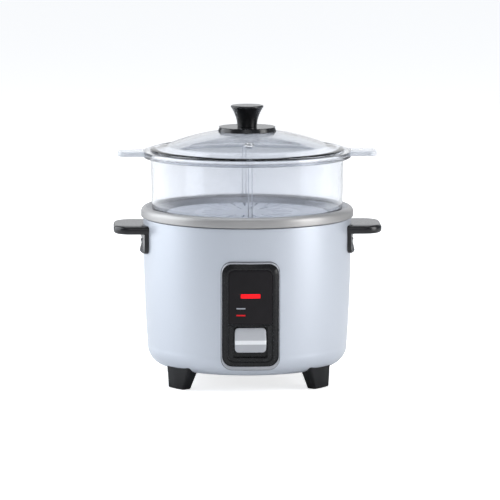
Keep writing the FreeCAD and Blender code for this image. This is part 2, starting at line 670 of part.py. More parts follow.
foot_turn = number("foot_turn")
for label, angle, near, far in (
        ("foot_front_left", 180 + foot_turn, "-", ""), ("foot_front_right", 360 - foot_turn, "", "-"),
        ("foot_back_right", foot_turn, "-", ""), ("foot_back_left", 180 - foot_turn, "", "-")):
    block = prism("top", [
        ("foot_inner", "-foot_block"), ("foot_side", "-foot_block"),
        ("foot_side", "foot_block", "foot_outer", "left"), ("foot_inner", "foot_block"),
    ], "foot_under", "foot_top-foot_under")
    block.Tip.TaperAngle = number("foot_taper")
    bind(block.Tip, "TaperAngle", "foot_taper")
    sides = prism("side", [
        (near + "foot_half", "foot_under"), (far + "foot_half", "foot_under"),
        (far + "foot_slant", "foot_top"), (near + "foot_steep", "foot_top"),
    ], "70", "70")
    wedge = both(block, sides)
    wedge.Placement.Rotation = FreeCAD.Rotation(V(0, 0, 1), angle)
    socket = out_at(upright("pad_r+0.08", "pad_tall+0.02"), angle, "pad_ring_r", "0")
    node(label, less(wedge, body_space(), socket))
    pad = turned([
        ("0", "0"), ("pad_r-0.8", "0"), ("pad_r", "0.8"), ("pad_r", "pad_tall"), ("0", "pad_tall"),
    ])
    node(label.replace("foot", "pad"), out_at(pad, angle, "pad_ring_r", "0"))

# ---------------------------------------------------------------- pan

node("inner_pan", turned([
    ("0", "pan_floor-pan_wall"), ("pan_r-pan_corner", "pan_floor-pan_wall"),
    ("pan_r+pan_wall", "pan_floor+pan_corner", "pan_corner+pan_wall", "left"),
    ("pan_r+pan_wall", "flare_low-1"), ("seat_in+0.8", "seat_level-pan_wall"),
    ("seat_out+0.6", "seat_level-pan_wall"), ("lip_r-lip_bend-0.4", "pan_top-lip_skin"),
    ("lip_r-lip_bend", "pan_top-lip_skin"),
    ("lip_r-lip_skin", "pan_top-lip_bend", "lip_bend-lip_skin", "right"),
    ("lip_r-lip_skin", "lip_low"), ("lip_r", "lip_low"), ("lip_r", "pan_top-lip_bend"),
    ("lip_r-lip_bend", "pan_top", "lip_bend", "left"), ("lip_r-lip_bend-1", "pan_top"),
    ("seat_out", "seat_level"), ("seat_in", "seat_level"), ("pan_r", "flare_low"),
    ("pan_r", "pan_floor+pan_corner"),
    ("pan_r-pan_corner", "pan_floor", "pan_corner", "right"), ("0", "pan_floor"),
]))

# ---------------------------------------------------------------- steam basket

basket = turned([
    ("plate_seat_r", "dish_low"), ("dish_r", "dish_low"), ("seat_in-0.6", "seat_level"),
    ("basket_low_r", "seat_level"), ("basket_high_r", "seat-2.5"),
    ("rim_r-rim_skin", "seat-2.5"), ("rim_r-rim_skin", "rim_low"),
    ("rim_r", "rim_low"), ("rim_r", "rim_high-0.8"), ("rim_r-0.8", "rim_high", "0.8", "left"),
    ("seat_r+0.5", "rim_high"), ("seat_r", "rim_high-0.5", "0.5", "left"), ("seat_r", "seat"),
    ("basket_high_r-basket_wall", "seat"),
    ("basket_low_r-basket_wall", "seat_level+basket_floor"),
    ("dish_r-0.6", "dish_low+basket_floor"), ("plate_seat_r+2.6", "dish_low+basket_floor"),
    ("plate_seat_r+2.6", "dish_low+1.1"), ("plate_seat_r", "dish_low+1.1"),
])
steam_plate = turned([
    ("0", "dish_low"), ("plate_seat_r-0.08", "dish_low"), ("plate_seat_r-0.08", "dish_low+1.12"),
    ("plate_seat_r+2.52", "dish_low+1.12"), ("plate_seat_r+2.52", "dish_low+basket_floor"),
    ("0", "dish_low+basket_floor"),
])
for inner, outer, count in (("66", "96", "slot_count"), ("32", "57", "short_count")):
    pocket_ring(steam_plate, [
        (inner, "-slot_half", "slot_half", "left"), (outer, "-slot_half"),
        (outer, "slot_half", "slot_half", "left"), (inner, "slot_half"),
    ], "dish_low+basket_floor+1", "basket_floor+2", count)
node("steam_plate", steam_plate)
ear_core = rod("rim_r-1", "20", "0", "0", "275")
ear_blank = prism("top", rounded("-ear_reach", "ear_reach", "-ear_half", "ear_half", "ear_round"),
                  "ear_low", "rim_high-ear_low")
ribs = [
    box(x, x_end, y, y_end, "seat_level+basket_floor", "seat-3")
    for x, x_end in (("-2.8", "-1.6"), ("1.6", "2.8"))
    for y, y_end in (("-117.6", "-115.6"), ("115.6", "117.6"))
]
node("steam_basket", joined(basket, less(ear_blank, ear_core), *ribs))

# ---------------------------------------------------------------- lid and knob

glass = turned([
    ("hole_r", "lid_apex-lid_sheet", "dome_bend-lid_sheet", "left"), ("hole_r", "lid_apex-0.03"),
    ("dome_r", "dome_foot", "dome_bend", "right"), ("lid_r-1.5", "lid_edge"),
    ("lid_r", "lid_edge-1.5", "1.5", "right"), ("lid_r", "seat+0.8"), ("lid_r-0.8", "seat", "0.8", "right"),
    ("114", "seat"), ("dome_r-2", "dome_foot-lid_sheet"),
])
lean = math.degrees(math.asin(number("vent_ring_r") / number("dome_bend")))
vent_level = number("lid_apex") - number("dome_bend") + math.sqrt(
    number("dome_bend") ** 2 - number("vent_ring_r") ** 2)
vent_seat = FreeCAD.Placement(V(0, -number("vent_ring_r"), vent_level),
                              FreeCAD.Rotation(V(1, 0, 0), lean))
vent_bore = upright("vent_r", "20")
vent_bore.Placement = vent_seat.multiply(FreeCAD.Placement(V(0, 0, -10), FreeCAD.Rotation()))
node("lid_glass", less(glass, vent_bore))
eyelet = turned([
    ("vent_r-1.5", "-lid_sheet-0.6"), ("vent_r-0.15", "-lid_sheet-0.6"), ("vent_r-0.15", "0.34"),
    ("eyelet_r", "0.34"), ("eyelet_r", "0.7"), ("eyelet_r-0.8", "1.3", "0.9", "left"),
    ("vent_r-0.6", "1.3"), ("vent_r-1.5", "0.4"),
])
eyelet.Placement = vent_seat
node("vent_grommet", eyelet)

node("knob_flange", turned([
    ("hole_r", "lid_apex"), ("disc_r", "disc_edge+0.1", "dome_bend", "right"),
    ("disc_r", "disc_top-0.8"), ("disc_r-0.8", "disc_top", "0.8", "left"), ("hole_r", "disc_top"),
]))
node("knob", turned([
    ("hole_r", "disc_top"), ("neck_r", "disc_top"), ("knob_r", "knob_top-1.8", "50", "right"),
    ("knob_r-1.6", "knob_top", "1.7", "left"), ("0", "knob_top"),
    ("0", "knob_top-6"), ("hole_r", "knob_top-6"),
]))
node("knob_washer", turned([
    ("hole_r", "lid_apex-lid_sheet-1.4"), ("12", "lid_apex-lid_sheet-1.4"),
    ("12", "lid_apex-lid_sheet-0.35"), ("hole_r", "lid_apex-lid_sheet-0.08"),
]))
node("knob_screw", screw("7", "2.4", "hole_r-0.02", "29.4", "0", "0",
                         "lid_apex-lid_sheet-1.4", "up"))

# ---------------------------------------------------------------- check and write

doc.recompute()
os.makedirs("parts", exist_ok=True)
bad = []
for thing in doc.Objects:
    if any(state in ("Invalid", "Error") for state in thing.State):
        bad.append((thing.Name, thing.Label, thing.State))
for label, thing in nodes.items():
    shape = thing.Shape
    if shape.isNull():
        bad.append((label, "empty"))
    elif not shape.isValid() or len(shape.Solids) != 1:
        bad.append((label, "solids", len(shape.Solids), shape.isValid()))
if bad:
    raise SystemExit(f"not built: {bad}")
for label, thing in nodes.items():
    thing.Shape.exportStep(f"parts/{label}.step")
print(len(nodes), "parts written")
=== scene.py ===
import math
import bmesh
import bpy
import numpy as np
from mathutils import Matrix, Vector


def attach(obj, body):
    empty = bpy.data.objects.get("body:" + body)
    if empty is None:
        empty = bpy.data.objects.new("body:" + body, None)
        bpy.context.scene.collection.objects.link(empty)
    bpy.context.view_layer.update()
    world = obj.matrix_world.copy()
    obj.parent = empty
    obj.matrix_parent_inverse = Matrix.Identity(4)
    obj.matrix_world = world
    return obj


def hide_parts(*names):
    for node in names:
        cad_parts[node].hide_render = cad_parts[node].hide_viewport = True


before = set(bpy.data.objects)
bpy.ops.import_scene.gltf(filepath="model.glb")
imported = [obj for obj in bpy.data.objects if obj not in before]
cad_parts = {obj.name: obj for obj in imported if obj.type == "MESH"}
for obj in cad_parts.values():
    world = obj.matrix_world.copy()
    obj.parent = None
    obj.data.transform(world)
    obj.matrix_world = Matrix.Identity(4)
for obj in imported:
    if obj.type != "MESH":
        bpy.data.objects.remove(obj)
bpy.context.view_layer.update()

# An electric rice cooker: enamelled drum with a heating plate, cook lever and side grips, a spun
# lift-out pan with a rolled lip, a clear steam basket and a domed glass lid with a flared knob.
# Sizes below are millimetres in the frame of the model; the front faces -Y.

MM = 0.001

# ------------------------------------------------------------------ shader building


class Value:
    """A shader socket, or a plain number, that understands arithmetic."""

    def __init__(self, finish, socket):
        self.finish = finish
        self.socket = socket

    def _with(self, operation, *others):
        values = {i: other for i, other in enumerate(others)}
        return self.finish.node("ShaderNodeMath", {"operation": operation}, values)

    def __add__(self, other):
        return self._with("ADD", self, other)

    def __radd__(self, other):
        return self._with("ADD", other, self)

    def __sub__(self, other):
        return self._with("SUBTRACT", self, other)

    def __rsub__(self, other):
        return self._with("SUBTRACT", other, self)

    def __mul__(self, other):
        return self._with("MULTIPLY", self, other)

    def __rmul__(self, other):
        return self._with("MULTIPLY", other, self)

    def __truediv__(self, other):
        return self._with("DIVIDE", self, other)

    def __pow__(self, other):
        return self._with("POWER", self, other)

    def above(self, edge):
        """One where the value is over the edge, nought elsewhere."""
        return self._with("GREATER_THAN", self, edge)

    def most(self, other):
        """The larger of two values."""
        return self._with("MAXIMUM", self, other)

    def size(self):
        """The value without its sign."""
        return self._with("ABSOLUTE", self)

    def band(self, middle, half, soft):
        """One inside a band round the middle value, falling to nought over the soft width."""
        edge = (half + soft - (self - middle).size()) / soft
        return self.finish.node("ShaderNodeClamp", {}, {"Value": edge})


class Finish:
    """One procedural material, with a Principled surface at its end."""

    def __init__(self, name):
        self.material = bpy.data.materials.new(name)
        self.material.use_nodes = True
        self.tree = self.material.node_tree
        self.tree.nodes.clear()
        self.surface = self.tree.nodes.new("ShaderNodeBsdfPrincipled")
        self.output = self.tree.nodes.new("ShaderNodeOutputMaterial")
        self.tree.links.new(self.surface.outputs[0], self.output.inputs[0])
        place = self.tree.nodes.new("ShaderNodeTexCoord")
        self.place = Value(self, place.outputs["Object"])

    def plug(self, socket, value):
        """Link a value to a socket, or set the socket to a plain number or colour."""
        if isinstance(value, Value):
            self.tree.links.new(value.socket, socket)
        else:
            if isinstance(value, (tuple, list)) and len(value) == 3 and socket.type == "RGBA":
                value = (*value, 1.0)
            socket.default_value = value

    def node(self, kind, settings, values, out=0):
        """Any node: its settings first, then the values or links of its sockets."""
        made = self.tree.nodes.new(kind)
        for key, setting in settings.items():
            if key == "stops":
                ramp = made.color_ramp
                while len(ramp.elements) < len(setting):
                    ramp.elements.new(0.5)
                for element, (position, colour) in zip(ramp.elements, setting):
                    element.position = position
                    element.color = (*colour, 1.0)
            else:
                setattr(made, key, setting)
        for key, value in values.items():
            self.plug(made.inputs[key], value)
        return Value(self, made.outputs[out])

    def axes(self):
        """The three parts of the object position, in metres."""
        return [self.node("ShaderNodeSeparateXYZ", {}, {0: self.place}, i) for i in range(3)]

    def ring(self):
        """Distance from the upright axis, and height."""
        x, y, z = self.axes()
        return (x * x + y * y) ** 0.5, z

    def vector(self, x, y, z):
        """Three values as one vector."""
        return self.node("ShaderNodeCombineXYZ", {}, {0: x, 1: y, 2: z})

    def noise(self, scale, detail=3.0, rough=0.5, at=None):
        """Cloudy noise between nought and one, at the object position unless told otherwise."""
        values = {"Vector": self.place if at is None else at, "Scale": scale, "Detail": detail,
                  "Roughness": rough}
        return self.node("ShaderNodeTexNoise", {}, values)

    def mix(self, factor, low, high):
        """A colour part of the way from low to high."""
        made = self.tree.nodes.new("ShaderNodeMix")
        made.data_type = "RGBA"
        self.plug(made.inputs["Factor"], factor)
        self.plug(made.inputs[6], low)
        self.plug(made.inputs[7], high)
        return Value(self, made.outputs[2])

    def bump(self, height, depth, strength=1.0):
        """A normal tilted by a height pattern of the given depth in metres."""
        return self.node("ShaderNodeBump", {}, {"Height": height, "Distance": depth,
                                                "Strength": strength})

    def set(self, **sockets):
        """Give the surface its values and return the finished material."""
        names = {"colour": "Base Color", "rough": "Roughness", "metal": "Metallic",
                 "coat": "Coat Weight", "coat_rough": "Coat Roughness", "normal": "Normal",
                 "clear": "Transmission Weight", "bend": "IOR", "alpha": "Alpha",
                 "shine": "Specular IOR Level", "glow": "Emission Color",
                 "glow_power": "Emission Strength", "coat_normal": "Coat Normal"}
        for key, value in sockets.items():
            self.plug(self.surface.inputs[names[key]], value)
        return self.material

    def lit_through(self, tint):
        """Let the lamps light what stands behind, as a thin clear sheet does."""
        sheer = self.node("ShaderNodeBsdfTransparent", {}, {0: tint})
        shadow = self.node("ShaderNodeLightPath", {}, {}, "Is Shadow Ray")
        both = self.node("ShaderNodeMixShader", {}, {0: shadow, 2: sheer})
        self.tree.links.new(self.surface.outputs[0], both.socket.node.inputs[1])
        self.tree.links.new(both.socket, self.output.inputs[0])


def pearl_enamel():
    """Silver pearl paint: fine flakes under a smooth coat with a faint ripple."""
    f = Finish("pearl_enamel")
    flakes = f.noise(5200.0, 2.0, 0.6)
    cloud = f.noise(9.0, 3.0, 0.5)
    colour = f.mix(flakes, (0.50, 0.535, 0.60), (0.66, 0.70, 0.765))
    colour = f.mix(cloud * 0.25, colour, (0.63, 0.66, 0.72))
    ripple = f.noise(420.0, 2.0, 0.4)
    return f.set(colour=colour, metal=0.35, rough=0.36 + flakes * 0.10, coat=0.35, coat_rough=0.16,
                 normal=f.bump(flakes * 0.5 + ripple * 0.5, 0.00002, 0.5))


def spun_aluminium(name, light, dark, rough):
    """Satin aluminium turned on a lathe: fine rings that follow the radius and height."""
    f = Finish(name)
    radius, height = f.ring()
    lines = f.noise(1.0, 3.0, 0.6, f.vector(radius * 2600.0, height * 2600.0, 0.0))
    cloud = f.noise(14.0, 4.0, 0.6)
    colour = f.mix(lines, dark, light)
    colour = f.mix(cloud * 0.3, colour, light)
    return f.set(colour=colour, metal=0.55, rough=rough + lines * 0.12,
                 normal=f.bump(lines, 0.00003, 0.5))


def rolled_sheet(name, colour_low, colour_high, rough=0.32, metal=0.9):
    """Bright steel sheet with rolling lines and a little cloudiness."""
    f = Finish(name)
    x, y, z = f.axes()
    lines = f.noise(1.0, 2.0, 0.7, f.vector(x * 60.0, y * 1800.0, z * 900.0))
    cloud = f.noise(30.0, 5.0, 0.6)
    spots = f.noise(420.0, 2.0, 0.5)
    colour = f.mix(cloud, colour_low, colour_high)
    return f.set(colour=colour, metal=metal, rough=rough + lines * 0.14 + spots * 0.06,
                 normal=f.bump(lines, 0.00003, 0.4))


def cast_plate():
    """Cast aluminium: sandy skin below, turned rings on the faces it was machined."""
    f = Finish("cast_plate")
    radius, height = f.ring()
    sand = f.noise(900.0, 4.0, 0.7)
    rings = f.noise(1.0, 2.0, 0.6, f.vector(radius * 3200.0, 0.0, 0.0))
    turned = height.above(0.0705)
    colour = f.mix(sand, (0.42, 0.42, 0.43), (0.60, 0.60, 0.61))
    colour = f.mix(turned * 0.6, colour, (0.68, 0.68, 0.69))
    rough = 0.52 - turned * 0.2 + sand * 0.1
    height_map = turned * rings + (1 - turned) * sand * 2.0
    return f.set(colour=colour, metal=0.85, rough=rough, normal=f.bump(height_map, 0.00008, 0.6))


def moulded(name, colour, rough, grain=0.3, coat=0.0, shine=0.5):
    """Moulded plastic: almost even colour, a faint grain and slow waviness."""
    f = Finish(name)
    fine = f.noise(3800.0, 2.0, 0.6)
    slow = f.noise(45.0, 3.0, 0.5)
    dust = f.noise(230.0, 5.0, 0.75)
    lighter = tuple(min(1.0, c * 1.25 + 0.006) for c in colour)
    surface = f.mix(slow * 0.6 + fine * 0.2, colour, lighter)
    return f.set(colour=surface, rough=rough + dust * 0.10 + fine * 0.04, coat=coat, coat_rough=0.08,
                 shine=shine, normal=f.bump(fine * grain + slow * 0.4, 0.00004, 0.5))


def clear_moulding(name="clear_moulding", clear=1.0, rough=0.05):
    """Clear plastic, faintly blue, with moulding waviness and a few hair scratches."""
    f = Finish(name)
    slow = f.noise(38.0, 3.0, 0.5)
    radius, height = f.ring()
    hair = f.noise(1.0, 2.0, 0.8, f.vector(radius * 300.0, height * 2400.0, 0.0))
    # Where the surface is seen edge-on, the colour is lifted towards pale: a painted sheen.
    glancing_sheen = f.node("ShaderNodeLayerWeight", {}, {0: 0.5}, "Facing")
    colour = f.mix(slow, (0.64, 0.66, 0.70), (0.71, 0.725, 0.755))
    colour = f.mix(f.node("ShaderNodeClamp", {}, {0: glancing_sheen * 1.6}), colour, (0.90, 0.91, 0.93))
    f.lit_through((0.80, 0.82, 0.86))
    return f.set(colour=colour, rough=rough + hair * 0.04, clear=clear, bend=1.40,
                 normal=f.bump(slow, 0.0004, 0.25))


def dome_glass():
    """Tempered glass with a grey cast and the faint roll of a pressed sheet."""
    f = Finish("dome_glass")
    slow = f.noise(16.0, 2.0, 0.5)
    colour = f.mix(slow, (0.70, 0.72, 0.755), (0.75, 0.765, 0.795))
    f.lit_through((0.84, 0.86, 0.89))
    return f.set(colour=colour, rough=0.03 + slow * 0.02, clear=1.0, bend=1.32,
                 normal=f.bump(slow, 0.0006, 0.2))


def lamp_red():
    """Red translucent lens with fine upright flutes and a glow behind it."""
    f = Finish("lamp_red")
    x, y, z = f.axes()
    flute = f.node("ShaderNodeMath", {"operation": "SINE"}, {0: x * 5200.0})
    patch = f.noise(220.0, 2.0, 0.5)
    colour = f.mix(patch, (0.80, 0.006, 0.012), (0.95, 0.012, 0.02))
    glow = f.mix(x.band(0.0, 0.007, 0.006), (0.75, 0.004, 0.008), (1.0, 0.012, 0.018))
    return f.set(colour=colour, rough=0.24 + patch * 0.05, glow=glow, glow_power=0.62,
                 shine=0.12, normal=f.bump(flute, 0.00003, 0.4))


def label_plate():
    """Glossy black plate with two short printed dashes, one pale and one red."""
    f = Finish("label_plate")
    x, y, z = f.axes()
    across = x.band(-0.0118, 0.0053, 0.0003)
    pale = across * z.band(0.1093, 0.0006, 0.0003)
    red = across * z.band(0.1008, 0.0007, 0.0003)
    dust = f.noise(260.0, 5.0, 0.75)
    slow = f.noise(40.0, 2.0, 0.5)
    colour = f.mix(slow, (0.010, 0.009, 0.010), (0.016, 0.014, 0.016))
    colour = f.mix(pale, colour, (0.42, 0.44, 0.48))
    colour = f.mix(red, colour, (0.85, 0.012, 0.02))
    printed = pale.most(red)
    return f.set(colour=colour, rough=0.16 + dust * 0.10 + printed * 0.25, coat=0.0,
                 shine=0.16, normal=f.bump(printed + slow * 0.2, 0.00003, 0.5))


def key_moulding():
    """Silver-grey moulded key, with a painted highlight along its ridge and painted shade on the face under
    it.
    """
    f = Finish("silver_grey_key")
    x, y, z = f.axes()
    fine = f.noise(3800.0, 2.0, 0.6)
    streak = f.noise(1.0, 3.0, 0.6, f.vector(x * 90.0, 0.0, z * 1500.0))
    # A band along the ledge's front is mixed near white and made smoother: a painted highlight.
    ridge_highlight = z.band(0.0676, 0.0021, 0.0007)
    # A band over the lower face is mixed greyer: painted shade under the ledge.
    under = z.band(0.0590, 0.0052, 0.0016)
    colour = f.mix(streak, (0.47, 0.48, 0.51), (0.56, 0.57, 0.60))
    colour = f.mix(under * 0.35, colour, (0.40, 0.41, 0.44))
    colour = f.mix(ridge_highlight, colour, (0.93, 0.94, 0.96))
    return f.set(colour=colour, rough=0.30 + fine * 0.06 - ridge_highlight * 0.06, coat=0.2, coat_rough=0.08,
                 normal=f.bump(streak * 0.5 + fine * 0.4, 0.00003, 0.5))


def braided_sleeve():
    """Braided glass sleeving over the internal leads."""
    f = Finish("braided_sleeve")
    x, y, z = f.axes()
    one = f.node("ShaderNodeMath", {"operation": "SINE"}, {0: (x + y + z) * 5200.0})
    two = f.node("ShaderNodeMath", {"operation": "SINE"}, {0: (x - y + z) * 5200.0})
    weave = one * two
    fuzz = f.noise(1500.0, 4.0, 0.7)
    colour = f.mix(weave * 0.5 + 0.5, (0.55, 0.52, 0.44), (0.82, 0.80, 0.72))
    return f.set(colour=colour, rough=0.75 + fuzz * 0.15, normal=f.bump(weave + fuzz, 0.0002, 0.6))


def fired_ceramic():
    """Unglazed white ceramic with a fine sandy surface."""
    f = Finish("fired_ceramic")
    sand = f.noise(1400.0, 4.0, 0.7)
    cloud = f.noise(60.0, 3.0, 0.5)
    colour = f.mix(cloud, (0.72, 0.69, 0.62), (0.84, 0.82, 0.76))
    return f.set(colour=colour, rough=0.62 + sand * 0.15, normal=f.bump(sand, 0.00008, 0.5))


finishes = {
    "body_paint": pearl_enamel(),
    "base_steel": rolled_sheet("zinc_sheet", (0.42, 0.43, 0.45), (0.60, 0.61, 0.63), 0.40),
    "shield_steel": rolled_sheet("bright_sheet", (0.62, 0.63, 0.65), (0.74, 0.75, 0.76), 0.22),
    "cast_plate": cast_plate(),
    "tube_steel": rolled_sheet("heated_tube", (0.16, 0.13, 0.11), (0.30, 0.25, 0.22), 0.45),
    "black_plastic": moulded("black_gloss", (0.005, 0.005, 0.006), 0.16, 0.2),
    "foot_plastic": moulded("black_satin", (0.004, 0.004, 0.005), 0.40, 0.8, shine=0.22),
    "pad_rubber": moulded("black_rubber", (0.018, 0.018, 0.018), 0.72, 1.0),
    "bezel_silver": rolled_sheet("silver_trim", (0.34, 0.35, 0.38), (0.46, 0.47, 0.50), 0.24, 0.6),
    "panel_black": moulded("charcoal_gloss", (0.004, 0.004, 0.005), 0.20, 0.3, shine=0.32),
    "lens_red": lamp_red(),
    "lamp_glass": moulded("lamp_glass", (0.75, 0.42, 0.30), 0.10, 0.1),
    "key_grey": key_moulding(),
    "pan_alu": spun_aluminium("spun_pan", (0.47, 0.46, 0.455), (0.36, 0.355, 0.35), 0.34),
    "clear_plastic": clear_moulding(),
    "lid_glass": dome_glass(),
    "bright_metal": rolled_sheet("plated_metal", (0.55, 0.56, 0.58), (0.70, 0.71, 0.73), 0.14),
    "contact_brass": rolled_sheet("contact_brass", (0.55, 0.38, 0.14), (0.72, 0.54, 0.24), 0.25),
    "ceramic_white": fired_ceramic(),
    "mica_sheet": moulded("mica_wrap", (0.42, 0.33, 0.20), 0.45, 1.0),
    "ferrite_dark": moulded("sintered_ferrite", (0.035, 0.035, 0.038), 0.50, 1.0),
    "lead_sleeve": braided_sleeve(),
    "spring_steel": rolled_sheet("spring_wire", (0.45, 0.45, 0.47), (0.58, 0.58, 0.60), 0.22),
}
plate_finish = label_plate()
frosted_finish = clear_moulding("frosted_moulding", 0.5, 0.22)

# ------------------------------------------------------------------ surface building


def rounded_line(corners, steps=6, closed=True):
    """A line through corners (a, b, radius), each corner replaced by an arc tangent to its sides.

    Each arc runs from where the inscribed circle meets the side before to where it meets the
    side after, turned evenly about its centre.
    """
    spots = np.array([c[:2] for c in corners], float)
    radii = [c[2] if len(c) > 2 else 0.0 for c in corners]
    line = []
    count = len(spots)
    for i, (here, radius) in enumerate(zip(spots, radii)):
        if radius == 0.0 or (not closed and i in (0, count - 1)):
            line.append(here[None])
            continue
        back = spots[i - 1] - here
        ahead = spots[(i + 1) % count] - here
        back /= np.linalg.norm(back)
        ahead /= np.linalg.norm(ahead)
        half = math.acos(max(-1.0, min(1.0, float(back @ ahead)))) / 2
        middle = back + ahead
        middle /= np.linalg.norm(middle)
        centre = here + middle * radius / math.sin(half)
        first = here + back * radius / math.tan(half) - centre
        sweep = math.pi - 2 * half
        turn = np.linspace(0, sweep, steps + 1)
        if first[0] * ahead[1] - first[1] * ahead[0] < 0:
            turn = -turn
        cos, sin = np.cos(turn), np.sin(turn)
        arc = np.stack([first[0] * cos - first[1] * sin, first[0] * sin + first[1] * cos], 1)
        line.append(centre + arc)
    return np.concatenate(line)


def mesh_piece(name, points, faces, body, slot, finish=None, stands_for=(), sharp=38.0):
    """A mesh from points in metres and four-sided faces, riding on a body.

    Points that meet are merged, so that poles and seams close, and a mesh whose signed volume
    is negative is turned round so that it faces outwards.
    """
    a, b, d, e = (points[faces[:, i]] for i in range(4))
    volume = (np.einsum("ij,ij->i", a, np.cross(b, d)) + np.einsum("ij,ij->i", a, np.cross(d, e))).sum()
    if volume < 0:
        faces = faces[:, ::-1]
    mesh = bpy.data.meshes.new(name)
    mesh.from_pydata(points.tolist(), [], faces.tolist())
    work = bmesh.new()
    work.from_mesh(mesh)
    bmesh.ops.remove_doubles(work, verts=work.verts, dist=2e-6)
    bmesh.ops.dissolve_degenerate(work, edges=work.edges, dist=1e-6)
    work.to_mesh(mesh)
    work.free()
    mesh.polygons.foreach_set("use_smooth", np.ones(len(mesh.polygons), bool))
    mesh.set_sharp_from_angle(angle=math.radians(sharp))
    piece = bpy.data.objects.new(name, mesh)
    bpy.context.scene.collection.objects.link(piece)
    mesh.materials.append(finish or finishes[slot])
    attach(piece, body)
    if stands_for:
        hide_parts(*stands_for)
    return piece


def skin(name, grid, body, slot, wrap_rows=False, wrap_columns=True, finish=None, stands_for=(),
         sharp=38.0):
    """A mesh through a grid of points (rows, columns, 3) in millimetres.

    Neighbouring rows and columns are joined by four-sided faces, wrapping round where asked.
    """
    rows, columns = grid.shape[:2]
    r = np.arange(rows if wrap_rows else rows - 1)
    c = np.arange(columns if wrap_columns else columns - 1)
    rr, cc = np.meshgrid(r, c, indexing="ij")
    down, right = (rr + 1) % rows, (cc + 1) % columns
    faces = np.stack([rr * columns + cc, rr * columns + right, down * columns + right,
                      down * columns + cc], -1).reshape(-1, 4)
    return mesh_piece(name, grid.reshape(-1, 3) * MM, faces, body, slot, finish, stands_for, sharp)


def spun(profile, columns=176):
    """A profile of (radius, height) carried round the upright axis: rows along the profile."""
    turn = np.linspace(0, 2 * math.pi, columns, endpoint=False)
    r, z = profile[:, 0, None], profile[:, 1, None]
    return np.stack([r * np.cos(turn), r * np.sin(turn), z + 0 * turn], -1)


def turned(name, corners, body, slot, steps=6, columns=176, closed=True, **more):
    """A lathe-turned piece whose section is a line with rounded corners."""
    profile = rounded_line(corners, steps, closed)
    return skin(name, spun(profile, columns), body, slot, wrap_rows=closed, **more)


SIDE_START, SIDE_BEND, BODY_R = 190.0, 2100.0, 130.0
CORNER_R, CORNER_BEND, SIDE_END, BODY_LOW = 101.2, 24.0, 47.6, 22.0


def side_radius(z):
    """Radius of the drum's gently barrelled side, carried on down past its corner."""
    drop = np.minimum(z - SIDE_START, 0.0)
    return BODY_R - SIDE_BEND + np.sqrt(SIDE_BEND ** 2 - drop ** 2)


def body_radius(z):
    """Radius of the painted drum: the barrelled side above, the round corner below."""
    drop = np.clip(BODY_LOW + CORNER_BEND - z, 0.0, CORNER_BEND)
    corner = CORNER_R + np.sqrt(CORNER_BEND ** 2 - drop ** 2)
    return np.where(z > SIDE_END, side_radius(z), np.minimum(corner, side_radius(z)))


def under_level(r):
    """Height of the drum's underside at a radius."""
    out = np.clip(r - CORNER_R, 0.0, CORNER_BEND)
    return BODY_LOW + CORNER_BEND - np.sqrt(CORNER_BEND ** 2 - out ** 2)


def rect_outline(half, low, high, radius, inset=0.0, corner=8, across=8, up=10):
    """A rounded rectangle (s, z) with the same number of points whatever its inset.

    The radius may be a pair: that of the lower corners, then that of the upper ones.
    """
    half, low, high = half - inset, low + inset, high - inset
    most = max(min(half, (high - low) / 2), 0.001)
    under, over = (min(max(r - inset, 0.02), most) for r in np.broadcast_to(radius, 2))
    turn = np.linspace(0, math.pi / 2, corner + 1)
    parts = []
    for cx, cz, bend, start in ((half - under, low + under, under, -math.pi / 2),
                                (half - over, high - over, over, 0.0),
                                (-half + over, high - over, over, math.pi / 2),
                                (-half + under, low + under, under, math.pi)):
        parts.append(np.stack([cx + bend * np.cos(start + turn), cz + bend * np.sin(start + turn)], 1))
    line = []
    for i, part in enumerate(parts):
        line.append(part)
        after = parts[(i + 1) % 4][0]
        share = np.linspace(0, 1, (up if i % 2 == 0 else across) + 1)[1:-1, None]
        line.append(part[-1] * (1 - share) + after * share)
    return np.concatenate(line)


def bowed(start, end, radius, steps):
    """Points of a circle arc between two section points, bulging to the left of its way."""
    start, end = np.array(start, float), np.array(end, float)
    chord = end - start
    length = np.linalg.norm(chord)
    left = np.array([-chord[1], chord[0]]) / length
    sag = math.sqrt(radius ** 2 - length ** 2 / 4)
    centre = (start + end) / 2 - left * sag * (1 if radius > 0 else -1)
    half = math.asin(length / 2 / abs(radius))
    out = left * (1 if radius > 0 else -1)
    turn = np.linspace(half, -half, steps + 1)
    along = chord / length
    return centre + abs(radius) * (np.cos(turn)[:, None] * out - np.sin(turn)[:, None] * along)


def facing(s, z, depth, side):
    """Puts points (along, height, distance from the axis plane) on the front, right, back or left."""
    turn = {"front": -90, "right": 0, "back": 90, "left": 180}[side]
    c, n = math.cos(math.radians(turn)), math.sin(math.radians(turn))
    return np.stack([depth * c - s * n, depth * n + s * c, z], -1)


def ring_on_drum(outline, proud, side="front", seat=False):
    """An outline wrapped on the drum, standing proud of its side line, or seated on its skin."""
    s, z = outline[:, 0], outline[:, 1]
    radius = body_radius(z) + proud if seat else side_radius(z) + proud
    return facing(s, z, np.sqrt(np.maximum(radius ** 2 - s ** 2, 0.0)), side)


def capped(rings):
    """Closed rings as a grid, with its first and last rings drawn in to their middles."""
    first, last = rings[0], rings[-1]
    start = [first.mean(0) + (first - first.mean(0)) * k for k in (0.0, 0.5)]
    end = [last.mean(0) + (last - last.mean(0)) * k for k in (0.5, 0.0)]
    return np.stack(start + list(rings) + end)


def lofted(name, rings, body, slot, **more):
    """A skin stretched over closed rings and closed at both ends."""
    return skin(name, capped(rings), body, slot, **more)


def inward(outline, distance):
    """A closed plan outline moved inwards along its normals."""
    along = np.roll(outline, -1, 0) - np.roll(outline, 1, 0)
    along /= np.linalg.norm(along, axis=1)[:, None]
    normal = np.stack([-along[:, 1], along[:, 0]], 1)
    area = (outline[:, 0] * np.roll(outline[:, 1], -1) - outline[:, 1] * np.roll(outline[:, 0], -1)).sum()
    return outline + normal * distance * (1 if area > 0 else -1)


